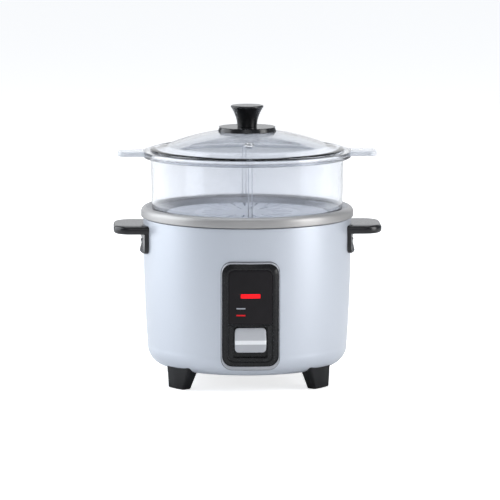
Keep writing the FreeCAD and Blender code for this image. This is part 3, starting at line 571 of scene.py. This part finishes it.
def even(outline, count):
    """A closed outline resampled to a count of evenly spaced points."""
    loop = np.concatenate([outline, outline[:1]])
    length = np.concatenate([[0], np.cumsum(np.linalg.norm(np.diff(loop, axis=0), axis=1))])
    at = np.linspace(0, length[-1], count, endpoint=False)
    return np.stack([np.interp(at, length, loop[:, i]) for i in (0, 1)], 1)


def sandwich(name, top, bottom, body, slot, keep=None, finish=None, stands_for=(), sharp=38.0,
             wrap=True):
    """A sheet between two grids of matching points, open cells left out, its cut edges walled.

    Kept cells give a face on the top grid and a turned one on the bottom grid. A directed edge
    of a kept cell with no partner running the other way is a cut edge, and gets a wall.
    """
    rows, columns = top.shape[:2]
    count = rows * columns
    wide = columns if wrap else columns - 1
    rr, cc = np.meshgrid(np.arange(rows - 1), np.arange(wide), indexing="ij")
    right = (cc + 1) % columns
    quads = np.stack([rr * columns + cc, rr * columns + right, (rr + 1) * columns + right,
                      (rr + 1) * columns + cc], -1)
    quads = quads[keep] if keep is not None else quads.reshape(-1, 4)
    start = quads.reshape(-1)
    end = np.roll(quads, -1, 1).reshape(-1)
    alone = ~np.isin(start * count + end, end * count + start)
    a, b = start[alone], end[alone]
    walls = np.stack([b, a, a + count, b + count], -1)
    faces = np.concatenate([quads, quads[:, ::-1] + count, walls])
    points = np.concatenate([top.reshape(-1, 3), bottom.reshape(-1, 3)])
    used, fresh = np.unique(faces, return_inverse=True)
    return mesh_piece(name, points[used] * MM, fresh.reshape(-1, 4), body, slot, finish, stands_for,
                      sharp)


def window(angle_low, angle_high, count=4):
    """Column angles inside an opening, its edges included, in radians from +X."""
    return np.linspace(angle_low, angle_high, count + 1)


def merged(values, extra, apart):
    """Sorted grid positions with extra ones put in exactly, and near neighbours of those left out."""
    extra = np.concatenate(extra)
    clear = np.abs(values[:, None] - extra[None]).min(1) > apart
    return np.unique(np.concatenate([values[clear], extra]).round(9))


def tube_along(path, radius, around=16):
    """A round bar of points along a path: each ring stands square to the path there.

    The ring's own axes are the path's direction crossed with a fixed one, and their cross product.
    """
    ahead = np.gradient(path, axis=0)
    ahead /= np.linalg.norm(ahead, axis=1)[:, None]
    side = np.cross(ahead, np.array([0.0, 0.0, 1.0]) + 0.001)
    side /= np.linalg.norm(side, axis=1)[:, None]
    up = np.cross(side, ahead)
    turn = np.linspace(0, 2 * math.pi, around, endpoint=False)
    return (path[:, None] + radius * (np.cos(turn)[None, :, None] * side[:, None]
                                      + np.sin(turn)[None, :, None] * up[:, None]))


def leaned(grid, ring, level, angle):
    """A grid leaned forwards about +X by an angle and moved out to a ring at the front."""
    c, s = math.cos(angle), math.sin(angle)
    x, y, z = grid[..., 0], grid[..., 1], grid[..., 2]
    return np.stack([x, c * y - s * z - ring, s * y + c * z + level], -1)


# ------------------------------------------------------------------ painted drum


def drum_lines():
    """Outer and inner section lines of the drum, a sheet apart, from the base up over the top."""
    low = np.array([[84.0, BODY_LOW], [94.0, BODY_LOW]])
    middle = BODY_LOW + CORNER_BEND
    stops = [math.acos((middle - level) / CORNER_BEND) for level in (44.7, 46.1, SIDE_END)]
    turn = merged(np.linspace(0, stops[2], 16), [np.array(stops)], 0.03)
    corner = np.stack([CORNER_R + CORNER_BEND * np.sin(turn),
                       BODY_LOW + CORNER_BEND - CORNER_BEND * np.cos(turn)], 1)
    level = merged(np.linspace(47.5, 205.4, 60), [np.array(
        [71.3, 88.1, 119.0, 130.4, 176.4, 179.6])], 1.0)
    side = np.stack([side_radius(level), level], 1)
    turn = np.linspace(0, math.pi / 2, 5)
    over = np.stack([129.0 + np.cos(turn), 206.5 + np.sin(turn)], 1)
    line = np.concatenate([low, corner, side[side[:, 1] > corner[-1, 1] + 0.4], over,
                           [[127.5, 207.5], [125.6, 207.5]]])
    along = np.gradient(line, axis=0)
    along /= np.linalg.norm(along, axis=1)[:, None]
    inner = line + np.stack([-along[:, 1], along[:, 0]], 1)
    inner[:2, 1] = BODY_LOW + 1.0
    inner[:2, 0] = line[:2, 0]
    inner[-2:, 1] = 206.5
    inner[-2:, 0] = line[-2:, 0]
    return line, inner


def cells(values):
    """Middle of each step between neighbouring grid positions."""
    return (values[:-1] + values[1:]) / 2


outer_line, inner_line = drum_lines()
front, back = -math.pi / 2, math.pi / 2
lever_turn = math.asin(22.1 / 126.3)
lamp_turn = math.asin(14.5 / 128.9)
inlet_turn = math.asin(20.3 / 125.9)
around = merged(np.linspace(-math.pi, math.pi, 240, endpoint=False), [
    window(front - lever_turn, front + lever_turn, 12), window(front - lamp_turn, front + lamp_turn, 4),
    window(back - inlet_turn, back + inlet_turn, 12)], math.radians(0.45))
middle_turn = np.append(cells(around), math.pi - 0.006)
middle_level = cells(outer_line[:, 1])
turn_grid, level_grid = np.meshgrid(middle_turn, middle_level)
holes = ((np.abs(turn_grid - front) < lever_turn) & (level_grid > 46.1) & (level_grid < 88.1)
         | (np.abs(turn_grid - front) < lamp_turn) & (level_grid > 119.0) & (level_grid < 130.4)
         | (np.abs(turn_grid - back) < inlet_turn) & (level_grid > 44.7) & (level_grid < 71.3))
holes &= (np.arange(len(middle_level)) > 3)[:, None]


def at_angles(line, angles):
    """A section line carried to each of the given angles."""
    r, z = line[:, 0, None], line[:, 1, None]
    return np.stack([r * np.cos(angles), r * np.sin(angles), z + 0 * angles], -1)


sandwich("drum_shell", at_angles(outer_line, around), at_angles(inner_line, around), "cooker",
         "body_paint", keep=~holes, stands_for=["outer_shell"])

# ------------------------------------------------------------------ feet

FOOT_UNDER, FOOT_INNER, FOOT_OUTER, FOOT_HALF = 0.5, 102.0, 115.0, 15.0
FOOT_DRAFT, STEEP_GAIN, SLANT_GAIN, DRAFT_RISE = 0.07, 0.6, 21.0, 39.5
foot_base = rounded_line([(FOOT_INNER, -FOOT_HALF, 1.5), (FOOT_OUTER - 1, -FOOT_HALF, 1.5),
                          (FOOT_OUTER, 0.0, 60.0), (FOOT_OUTER - 1, FOOT_HALF, 2.5),
                          (FOOT_INNER, FOOT_HALF, 1.5)], 8)
foot_base = even(foot_base, 120)


def foot_at(plan, level):
    """The foot's plan at a level: drawn out by its drafts, the side towards the middle the most."""
    rise = level - FOOT_UNDER
    side = np.where(plan[:, 1] > 0, SLANT_GAIN, STEEP_GAIN) / DRAFT_RISE / FOOT_HALF
    middle, half = (FOOT_INNER + FOOT_OUTER) / 2, (FOOT_OUTER - FOOT_INNER) / 2
    x = plan[:, 0] + rise * FOOT_DRAFT * (plan[:, 0] - middle) / half
    return np.stack([x, plan[:, 1] * (1 + rise * side)], 1)


for label, turn, way in (("front_left", 217, 1), ("front_right", 323, -1), ("back_right", 37, 1),
                         ("back_left", 143, -1)):
    rings = []
    for share, inset in ((0.0, 1.0), (0.012, 0.3), (0.035, 0.0), (0.2, 0.0), (0.45, 0.0), (0.7, 0.0),
                         (0.9, 0.0), (1.0, 0.0)):
        plan = inward(foot_base, inset)
        top = np.full(len(plan), 30.0)
        for again in range(6):
            at_top = foot_at(plan, top)
            top = under_level(np.hypot(at_top[:, 0], at_top[:, 1])) + 0.6
        level = FOOT_UNDER + (top - FOOT_UNDER) * share
        wide = foot_at(plan, level)
        rings.append(np.stack([wide[:, 0], way * wide[:, 1], level], 1))
    c, s = math.cos(math.radians(turn)), math.sin(math.radians(turn))
    rings = [np.stack([c * r[:, 0] - s * r[:, 1], s * r[:, 0] + c * r[:, 1], r[:, 2]], 1) for r in rings]
    lofted("moulded_foot_" + label, rings, "cooker", "foot_plastic", stands_for=["foot_" + label])

# ------------------------------------------------------------------ side grips


def grip_plan(inset, inner_gap):
    """Plan of a side grip (x, y): outer path with round corners, inner edge along the drum."""
    reach, half, round_by = 167.5 - inset, 42.0 - inset, 22.0 - inset
    start = math.sqrt((BODY_R + 0.05) ** 2 - half ** 2)
    turn = np.linspace(-math.pi / 2, 0, 13)
    low = np.stack([reach - round_by + round_by * np.cos(turn),
                    -half + round_by + round_by * np.sin(turn)], 1)
    high = low[::-1] * [1, -1]
    edge = np.linspace(half, -half, 26)
    body = np.stack([np.sqrt((BODY_R + inner_gap) ** 2 - edge ** 2), edge], 1)
    low_side = np.linspace([start, -half], low[0], 7)[1:-1]
    high_side = low_side[::-1] * [1, -1]
    end = np.linspace(low[-1], high[0], 8)[1:-1]
    return np.concatenate([body, low_side, low, end, high, high_side])


for label, way in (("left", -1.0), ("right", 1.0)):
    turn = np.linspace(0, math.pi / 2, 7)
    steps = [(4 - 4 * math.sin(t), 189.2 + 4 - 4 * math.cos(t)) for t in turn]
    steps += [(4 - 4 * math.cos(t), 199.7 - 4 + 4 * math.sin(t)) for t in turn]
    rings = []
    for inset, level in steps:
        plan = grip_plan(inset, -0.3)
        rings.append(np.stack([way * plan[:, 0], plan[:, 1], np.full(len(plan), level)], 1))
    lofted("grip_slab_" + label, rings, "cooker", "black_plastic")
    outline = rounded_line([(-41, 164.6, 7.5), (41, 164.6, 7.5), (41, 191.5, 0.4), (-41, 191.5, 0.4)], 8)
    outline = even(outline, 168)
    rings = [ring_on_drum(inward(outline, inset), proud, label)
             for inset, proud in ((0, -0.3), (0, 1.0), (0, 4.0), (0.3, 4.6), (0.9, 5.0))]
    plate = skin("grip_bracket_" + label, capped(rings), "cooker", "black_plastic")
    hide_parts(label + "_handle")

# ------------------------------------------------------------------ front panel

def panel_ring(half, low, high, radius, proud, inset=0.0):
    """One ring of the panel: a rounded rectangle laid on the front, standing proud of the drum."""
    return ring_on_drum(rect_outline(half, low, high, radius, inset, 10, 14, 24), proud)


trim_out = (36.3, 31.8, 167.2, 14.0)
trim_mid = (35.7, 32.4, 166.6, 13.4)
trim_in = (34.6, 36.9, 164.4, 12.3)
# A thin black ring standing just proud round the trim: painted shade, a dark sheet standing for the shadow
# gap between the trim and the drum.
shadow_gap_rings = [panel_ring(*trim_out, -0.4), panel_ring(*trim_out, 0.5), panel_ring(*trim_out, 0.9, 0.2),
          panel_ring(*trim_out, 0.9, 0.7), panel_ring(*trim_out, -0.4, 1.2)]
skin("panel_shadow_gap", np.stack(shadow_gap_rings), "cooker", "panel_black", wrap_rows=True)
trim = [panel_ring(*trim_mid, -0.3), panel_ring(*trim_mid, 2.1), panel_ring(*trim_mid, 2.75, 0.25),
        panel_ring(*trim_mid, 3.0, 0.7), panel_ring(*trim_in, 2.75, -0.2), panel_ring(*trim_in, 2.3),
        panel_ring(*trim_in, 0.6)]
skin("panel_trim", np.stack(trim), "cooker", "bezel_silver", wrap_rows=True)

opening = (27.5, 42.6, 157.0, 8.0)
frame_rings = [panel_ring(*trim_in, 0.6), panel_ring(*trim_in, 1.7), panel_ring(*trim_in, 2.1, 0.3),
               panel_ring(*opening, 2.9, -2.4), panel_ring(*opening, 3.0, -1.8),
               panel_ring(*opening, 2.75, -0.7), panel_ring(*opening, 2.1), panel_ring(*opening, 0.6)]
skin("panel_frame", np.stack(frame_rings), "cooker", "panel_black", wrap_rows=True,
     stands_for=["panel_bezel"])


def drawn_in(outline, low, high, share):
    """An outline drawn in by a share of the way to an upright line between two levels."""
    spine = np.stack([0 * outline[:, 0], np.clip(outline[:, 1], low, high)], 1)
    return outline * (1 - share) + spine * share


plate_edge = (27.35, 89.2, 156.85, (0.6, 7.85))
plate_line = rect_outline(*plate_edge, 0.0, 8, 14, 18)
plate_rings = [ring_on_drum(drawn_in(plate_line, 113.8, 132.2, k), 0.3) for k in (1.0, 0.5, 0.0)]
plate_rings += [ring_on_drum(rect_outline(*plate_edge, inset, 8, 14, 18), proud)
                for inset, proud in ((0.0, 1.45), (0.25, 1.75), (0.6, 1.8))]
face_line = rect_outline(*plate_edge, 0.6, 8, 14, 18)
plate_rings += [ring_on_drum(drawn_in(face_line, 113.8, 132.2, k), 1.8)
                for k in np.linspace(0.12, 1.0, 7)]
skin("panel_plate_face", np.stack(plate_rings), "cooker", "black_plastic",
     finish=plate_finish, stands_for=["panel_plate"])

lens = [panel_ring(12.0, 122.1, 127.4, 0.7, proud, inset) for proud, inset in
        ((0.2, 0.0), (2.1, 0.0), (2.45, 0.15), (2.6, 0.5))]
skin("lamp_window", capped(lens), "cooker", "lens_red", stands_for=["lamp_lens"])

surround = (27.35, 42.75, 88.9, (7.8, 0.6))
mouth = (20.5, 47.7, 86.5, 2.0)
mouth_line = rect_outline(*mouth, 0.0, 10, 14, 24)
slot_line = rect_outline(9.0, 53.0, 66.0, 0.3, 0.0, 10, 14, 24)
cup_line = rect_outline(21.8, 46.4, 87.8, 2.5, 0.0, 10, 14, 24)


def front_ring(line, depth):
    """A panel ring lying flat at a distance in front of the axis."""
    return facing(line[:, 0], line[:, 1], np.full(len(line), depth), "front")


recess = [panel_ring(*surround, 0.3), panel_ring(*surround, 1.5), panel_ring(*surround, 1.8, 0.3),
          panel_ring(*mouth, 1.8, -1.5), panel_ring(*mouth, 2.05, -1.0), panel_ring(*mouth, 1.8, -0.3),
          panel_ring(*mouth, 1.2), front_ring(mouth_line, 122.2),
          front_ring(mouth_line * [0.99, 1], 121.3),
          front_ring(slot_line, 121.3), front_ring(slot_line, 120.0), front_ring(cup_line, 120.0),
          front_ring(cup_line, 123.2)]
skin("lever_surround_moulding", np.stack(recess), "cooker", "panel_black", wrap_rows=True,
     stands_for=["lever_surround"])

# ------------------------------------------------------------------ lever key


def key_rings():
    """Side line of the key carried across: each ring is the line at one x, drawn in at the ends.

    The front of the line is pulled back towards the key's back face by a quarter-round of the
    corner radius near each end, so that the corners of its face are round.
    """
    line = rounded_line([(-125.0, 54.6, 0.4), (-125.0, 85.0, 0.4), (-126.6, 85.0, 0.8),
                         (-131.4, 71.4, 1.2), (-132.4, 69.6, 0.6), (-132.4, 65.6, 0.6),
                         (-131.2, 63.6, 1.2), (-128.2, 54.6, 0.8)], 4)
    rings = []
    across = np.concatenate([19.2 - 5.0 * (1 - np.sin(np.linspace(0, math.pi / 2, 7)[::-1])), [0.0]])
    across = np.unique(np.concatenate([across, -across]).round(6))
    for x in across:
        past = max(0.0, abs(x) - 14.2)
        corner = 5.0 - math.sqrt(max(0.0, 25.0 - past ** 2))
        edge = max(0.0, 1.0 - (19.2 - abs(x))) * 0.8
        low, high = 54.6 + corner, 85.0 - corner
        y = np.minimum(line[:, 0] + edge * (line[:, 0] < -126.0), -125.0)
        rings.append(np.stack([np.full(len(line), x), y, np.clip(line[:, 1], low, high)], 1))
    return rings


lofted("lever_key_cap", key_rings(), "lever", "key_grey", stands_for=["lever_key"], sharp=50.0)

# ------------------------------------------------------------------ mains inlet at the back

flange = (28.0, 40.0, 76.0, 4.0)
well = (16.0, 49.0, 67.0, 3.0)
core = (20.0, 45.0, 71.0, 2.0)


def inlet_ring(shape, depth, inset=0.0):
    """One ring of the inlet: a rounded rectangle at a distance behind the axis."""
    line = rect_outline(*shape, inset, 8, 12, 10)
    return facing(line[:, 0], line[:, 1], np.full(len(line), depth), "back")


flange_line = rect_outline(*flange, 0.0, 8, 12, 10)
core_line = rect_outline(*core, 0.0, 8, 12, 10)
inlet = [inlet_ring(core, 110.0, 0.6), inlet_ring(core, 110.6), ring_on_drum(core_line, -0.2, "back"),
         ring_on_drum(flange_line, -0.2, "back"), ring_on_drum(flange_line, 1.2, "back"),
         inlet_ring(flange, 127.0), inlet_ring(flange, 127.7, 0.3), inlet_ring(flange, 128.0, 1.0),
         inlet_ring(well, 128.0, -1.0), inlet_ring(well, 127.6, -0.3), inlet_ring(well, 127.0),
         inlet_ring(well, 114.6), inlet_ring(well, 114.0, 0.6)]
skin("inlet_moulding", capped(inlet), "cooker", "black_plastic", stands_for=["inlet_socket"])

# ------------------------------------------------------------------ pan

pan_line = [(0.0, 72.0), (60.0, 72.0), (108.5, 72.0, 22.0), (108.5, 150.0), (108.5, 208.7, 2.0),
            (117.6, 215.7, 2.0), (121.6, 215.7, 1.0), (125.9, 219.2, 1.0), (131.2, 219.2, 4.7),
            (131.2, 208.5, 0.85), (133.0, 208.5, 0.85), (133.0, 221.0, 6.5), (125.5, 221.0, 1.5),
            (121.3, 217.5, 1.0), (117.0, 217.5, 1.0), (106.5, 209.5, 3.0), (106.5, 150.0),
            (106.5, 74.0, 20.0), (60.0, 74.0), (0.0, 74.0)]
skin("spun_pan", spun(rounded_line(pan_line, 10, False), 224), "pan", "pan_alu",
     stands_for=["inner_pan"], sharp=55.0)

# ------------------------------------------------------------------ steam basket

wall_line = [(98.5, 210.6), (104.6, 210.6, 2.0), (116.4, 217.5, 0.8), (119.4, 217.5, 1.0),
             (120.6, 286.9, 1.2), (128.0, 286.9, 0.8), (128.0, 282.6, 0.5), (130.2, 282.6, 0.9),
             (130.2, 290.6, 1.1), (122.6, 290.6, 0.6), (122.6, 289.4, 0.3), (118.6, 289.4, 1.0),
             (117.4, 219.6, 1.2), (116.2, 219.5, 1.0), (104.0, 212.8, 2.0), (101.1, 212.8),
             (101.1, 211.7), (98.5, 211.7)]
turned("basket_wall", wall_line, "basket", "clear_plastic", steps=6, columns=224,
       stands_for=["steam_basket"], sharp=30.0)
spread = merged(np.linspace(0.0, 100.9, 46), [np.array([0.0, 32.0, 57.0, 66.0, 96.0, 98.4, 100.9])], 0.9)
turns = np.linspace(-math.pi, math.pi, 360, endpoint=False) + math.radians(0.5)
turn_grid, spread_grid = np.meshgrid(turns + math.radians(0.5), cells(spread))
degrees = np.round(np.degrees(turn_grid)).astype(int)
slots = (spread_grid > 66) & (spread_grid < 96) & (degrees % 10 < 2)
slots |= (spread_grid > 32) & (spread_grid < 57) & (degrees % 20 < 4)
plate_low = np.where(spread > 98.45, 211.72, 210.6)
sandwich("steam_floor_plate", at_angles(np.stack([spread, 0 * spread + 212.8], 1), turns),
         at_angles(np.stack([spread, plate_low], 1), turns), "basket", "clear_plastic",
         keep=~slots, finish=frosted_finish, stands_for=["steam_plate"])


def ear_plan(inset):
    """Plan of a basket ear (x, y): round-cornered tongue, its root along the rim."""
    reach, half, round_by = 161.5 - inset, 20.0 - inset, 9.0 - inset
    turn = np.linspace(-math.pi / 2, 0, 9)
    low = np.stack([reach - round_by + round_by * np.cos(turn),
                    -half + round_by + round_by * np.sin(turn)], 1)
    edge = np.linspace(half, -half, 14)
    root = np.stack([np.sqrt(130.0 ** 2 - edge ** 2), edge], 1)
    side = np.linspace(root[-1], low[0], 8)[1:-1]
    return np.concatenate([root, side, low, np.linspace(low[-1], low[-1] * [1, -1], 6)[1:-1],
                           low[::-1] * [1, -1], side[::-1] * [1, -1]])


for label, way in (("left", -1.0), ("right", 1.0)):
    rings = []
    for inset, level in ((1.0, 284.4), (0.3, 284.7), (0.0, 285.4),
                         (0.0, 289.6), (0.3, 290.3), (1.0, 290.6)):
        plan = ear_plan(inset)
        rings.append(np.stack([way * plan[:, 0], plan[:, 1], np.full(len(plan), level)], 1))
    lofted("basket_ear_" + label, rings, "basket", "clear_plastic", finish=frosted_finish)

for label, way in (("front", -1.0), ("back", 1.0)):
    for place, middle in (("a", -2.2), ("b", 2.2)):
        rings = []
        for inset, level in ((0.3, 219.6), (0.0, 220.2), (0.0, 286.0), (0.3, 286.8)):
            line = rounded_line([(middle - 0.6 + inset, 115.6 + inset, 0.25),
                                 (middle + 0.6 - inset, 115.6 + inset, 0.25),
                                 (middle + 0.6 - inset, 117.9, 0.1), (middle - 0.6 + inset, 117.9, 0.1)], 4)
            lean = 1.1 * (level - 219.6) / 67.0
            rings.append(np.stack([line[:, 0], way * (line[:, 1] + lean), np.full(len(line), level)], 1))
        lofted("basket_rib_" + label + "_" + place, rings, "basket", "clear_plastic")

# ------------------------------------------------------------------ glass lid

APEX, DOME = 316.8, 268.0


def dome_level(r):
    """Height of the glass's upper face at a radius: a sphere cap."""
    return APEX - DOME + np.sqrt(DOME ** 2 - r ** 2)


vent_ring, vent_lean = 78.6, math.asin(78.6 / DOME)
spread = merged(np.linspace(4.0, 119.5, 52), [np.array([4.0]), np.linspace(72.6, 84.6, 9),
                                             np.array([102.0, 104.0, 114.0, 119.5])], 0.8)
top_line = np.where(spread < 104.0, dome_level(spread), 296.2 - (spread - 104.0) * 3.0 / 15.5)
under_cap = 312.8 - 264.0 + np.sqrt(264.0 ** 2 - spread ** 2) + 0.03
under_line = np.where(spread < 102.0, under_cap, 292.2 - (spread - 102.0) * 2.8 / 12.0)
under_line = np.maximum(under_line, 289.4)
spread = np.append(spread, [120.6, 121.0, 120.8])
top_line = np.append(top_line, [292.6, 291.6, 290.4])
under_line = np.append(under_line, [289.4, 289.6, 289.9])
turns = merged(np.linspace(-math.pi, math.pi, 200, endpoint=False), [
    front + np.linspace(-0.08, 0.08, 11)], math.radians(0.5))
glass_top = at_angles(np.stack([spread, top_line], 1), turns)
glass_low = at_angles(np.stack([spread, under_line], 1), turns)
middle_turn = np.append(cells(turns), math.pi - 0.006)
turn_grid, spread_grid = np.meshgrid(middle_turn, cells(spread))
gap = np.hypot(spread_grid * np.cos(turn_grid), spread_grid * np.sin(turn_grid) + vent_ring)
holes = gap < 4.5
reach = np.hypot(glass_top[..., 0], glass_top[..., 1] + vent_ring)
touch = np.zeros(glass_top.shape[:2], bool)
touch[:-1] |= holes
touch[1:] |= holes
touch |= np.roll(touch, 1, 1)
round_up = np.where(touch, 4.55 / np.maximum(reach, 0.01), 1.0)
for grid in (glass_top, glass_low):
    grid[..., 0] *= round_up
    grid[..., 1] = (grid[..., 1] + vent_ring) * round_up - vent_ring
sandwich("lid_dome", glass_top, glass_low, "lid", "lid_glass", keep=~holes, stands_for=["lid_glass"],
         sharp=30.0)

eyelet = rounded_line([(3.0, -5.2, 0.2), (4.5, -5.2, 0.2), (4.5, 0.1), (6.2, 0.1, 0.15), (6.2, 0.9, 0.3),
                       (5.2, 1.35, 0.4), (3.6, 1.3, 0.3), (3.0, 0.4, 0.3)], 4)
skin("vent_eyelet", leaned(spun(eyelet, 48), vent_ring, float(dome_level(vent_ring)), vent_lean), "lid",
     "bright_metal", wrap_rows=True, stands_for=["vent_grommet"])

# ------------------------------------------------------------------ knob

disc_under = [(r, float(dome_level(r)) + 0.06) for r in (35.6, 30.0, 22.0, 14.0, 7.0, 2.3)]
turned("knob_disc", [(2.3, 320.2), (36.4, 320.2, 0.9), (36.4, 314.5, 0.4)] + disc_under, "lid",
       "black_plastic", steps=6, columns=144, stands_for=["knob_flange"])
knob_line = np.concatenate([[[0.0, 320.25], [11.6, 320.25]],
                            bowed((12.05, 320.6), (20.5, 345.1), 50.0, 18),
                            bowed((20.5, 345.5), (18.9, 347.0), -1.5, 6), [[10.0, 346.8], [0.0, 346.7]]])
skin("lid_knob", spun(knob_line, 128), "lid", "black_plastic", stands_for=["knob"], sharp=35.0)

# ------------------------------------------------------------------ parts seen with the pan out

turned("heat_plate_casting", [
    (20.0, 61.0), (53.0, 61.0), (53.0, 55.0, 0.8), (57.7, 55.0, 0.3), (57.7, 62.3), (66.3, 62.3),
    (66.3, 55.0, 0.3), (71.0, 55.0, 0.8), (71.0, 61.0), (85.0, 61.0, 1.0), (88.0, 64.0, 1.0),
    (88.0, 72.0, 1.5), (54.0, 72.0),
    (21.2, 72.0, 0.8), (20.0, 71.0, 0.3)], "cooker", "cast_plate", steps=4, columns=160,
       stands_for=["heating_plate"])
turned("sensor_cap_pressing", [
    (0.0, 71.2), (10.4, 71.2), (10.9, 70.6), (11.0, 58.0), (12.0, 58.0), (12.0, 69.6, 0.6),
    (17.5, 69.6, 0.5),
    (17.5, 72.0, 0.9), (9.0, 72.0), (0.0, 72.0)], "sensor", "bright_metal", steps=4, columns=96,
       closed=False, stands_for=["sensor_cap"])
turn = np.linspace(0, 3.5 * 2 * math.pi, 200)
coil = np.stack([12.0 * np.cos(turn), 12.0 * np.sin(turn), 50.8 + (turn / turn[-1]) * 6.5], 1)
skin("sensor_coil", capped(tube_along(coil, 0.6, 10)), "sensor", "spring_steel",
     stands_for=["sensor_spring"])

# ------------------------------------------------------------------ finishes on the CAD pieces

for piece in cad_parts.values():
    for place in piece.material_slots:
        name = place.material.name.split(".")[0] if place.material else ""
        if name in finishes:
            place.material = finishes[name]

# ------------------------------------------------------------------ floor, light and camera


def floor_paint():
    """Even white paper with a very slight tooth, lifted to white where it is looked at directly."""
    f = Finish("floor_paper")
    tooth = f.noise(300.0, 3.0, 0.6)
    colour = f.mix(tooth, (0.90, 0.90, 0.90), (0.93, 0.93, 0.93))
    seen = (f.node("ShaderNodeLightPath", {}, {}, "Is Camera Ray")
            + f.node("ShaderNodeLightPath", {}, {}, "Is Transmission Ray"))
    glow = f.mix(seen, (0.0, 0.0, 0.0), (1.0, 1.0, 1.0))
    return f.set(colour=colour, rough=0.9, shine=0.05, glow=glow, glow_power=0.70,
                 normal=f.bump(tooth, 0.00002, 0.2))


floor_mesh = bpy.data.meshes.new("floor_sheet")
floor_mesh.from_pydata([(-14, -14, 0), (14, -14, 0), (14, 14, 0), (-14, 14, 0)], [], [(0, 1, 2, 3)])
floor = bpy.data.objects.new("floor_sheet", floor_mesh)
bpy.context.scene.collection.objects.link(floor)
floor_mesh.materials.append(floor_paint())


def soft_light(name, spot, target, size, power, colour=(1.0, 1.0, 1.0)):
    """A rectangular soft box at a spot, turned to face its target."""
    lamp = bpy.data.lights.new(name, "AREA")
    lamp.shape = "RECTANGLE"
    lamp.size, lamp.size_y = size
    lamp.energy = power
    lamp.color = colour
    made = bpy.data.objects.new(name, lamp)
    made.location = spot
    made.rotation_euler = (Vector(target) - Vector(spot)).to_track_quat("-Z", "Y").to_euler()
    bpy.context.scene.collection.objects.link(made)
    return made


world = bpy.data.worlds.new("studio")
world.use_nodes = True
bpy.context.scene.world = world
tree = world.node_tree
tree.nodes.clear()
seen = tree.nodes.new("ShaderNodeBackground")
seen.inputs[0].default_value = (1.0, 1.0, 1.0, 1.0)
seen.inputs[1].default_value = 1.05
lit = tree.nodes.new("ShaderNodeBackground")
lit.inputs[0].default_value = (0.86, 0.92, 1.0, 1.0)
lit.inputs[1].default_value = 0.30
path = tree.nodes.new("ShaderNodeLightPath")
pick = tree.nodes.new("ShaderNodeMixShader")
end = tree.nodes.new("ShaderNodeOutputWorld")
tree.links.new(path.outputs["Is Camera Ray"], pick.inputs[0])
tree.links.new(lit.outputs[0], pick.inputs[1])
tree.links.new(seen.outputs[0], pick.inputs[2])
tree.links.new(pick.outputs[0], end.inputs[0])

soft_light("left_box", (-2.1, 0.45, 0.95), (0, 0, 0.16), (2.6, 2.5), 58, (0.93, 0.965, 1.0))
soft_light("right_box", (1.85, -0.75, 0.8), (0, 0, 0.16), (1.0, 1.8), 26)
soft_light("top_box", (0.0, 0.3, 2.3), (0, 0, 0.1), (1.8, 1.8), 20)
soft_light("back_box", (0.0, 2.4, 0.85), (0, 0, 0.16), (3.2, 1.2), 9)
soft_light("front_fill", (-0.2, -3.0, 1.3), (0, 0, 0.16), (1.6, 1.2), 7)

scene = bpy.context.scene
scene.view_settings.view_transform = "Standard"
scene.cycles.max_bounces = 14
scene.cycles.transmission_bounces = 14
scene.cycles.transparent_max_bounces = 16
azimuth, elevation, distance = math.radians(-1.9), math.radians(7.6), 5.0
aim = Vector((0.0036, 0.0, 0.1645))
away = Vector((math.sin(azimuth) * math.cos(elevation), -math.cos(azimuth) * math.cos(elevation),
               math.sin(elevation)))
eye = bpy.data.cameras.new("camera")
eye.lens = 287.0
eye.sensor_width = 36.0
eye.clip_start, eye.clip_end = 0.05, 60.0
camera = bpy.data.objects.new("camera", eye)
camera.location = aim + away * distance
camera.rotation_euler = (-away).to_track_quat("-Z", "Y").to_euler()
bpy.context.scene.collection.objects.link(camera)
bpy.context.scene.camera = camera
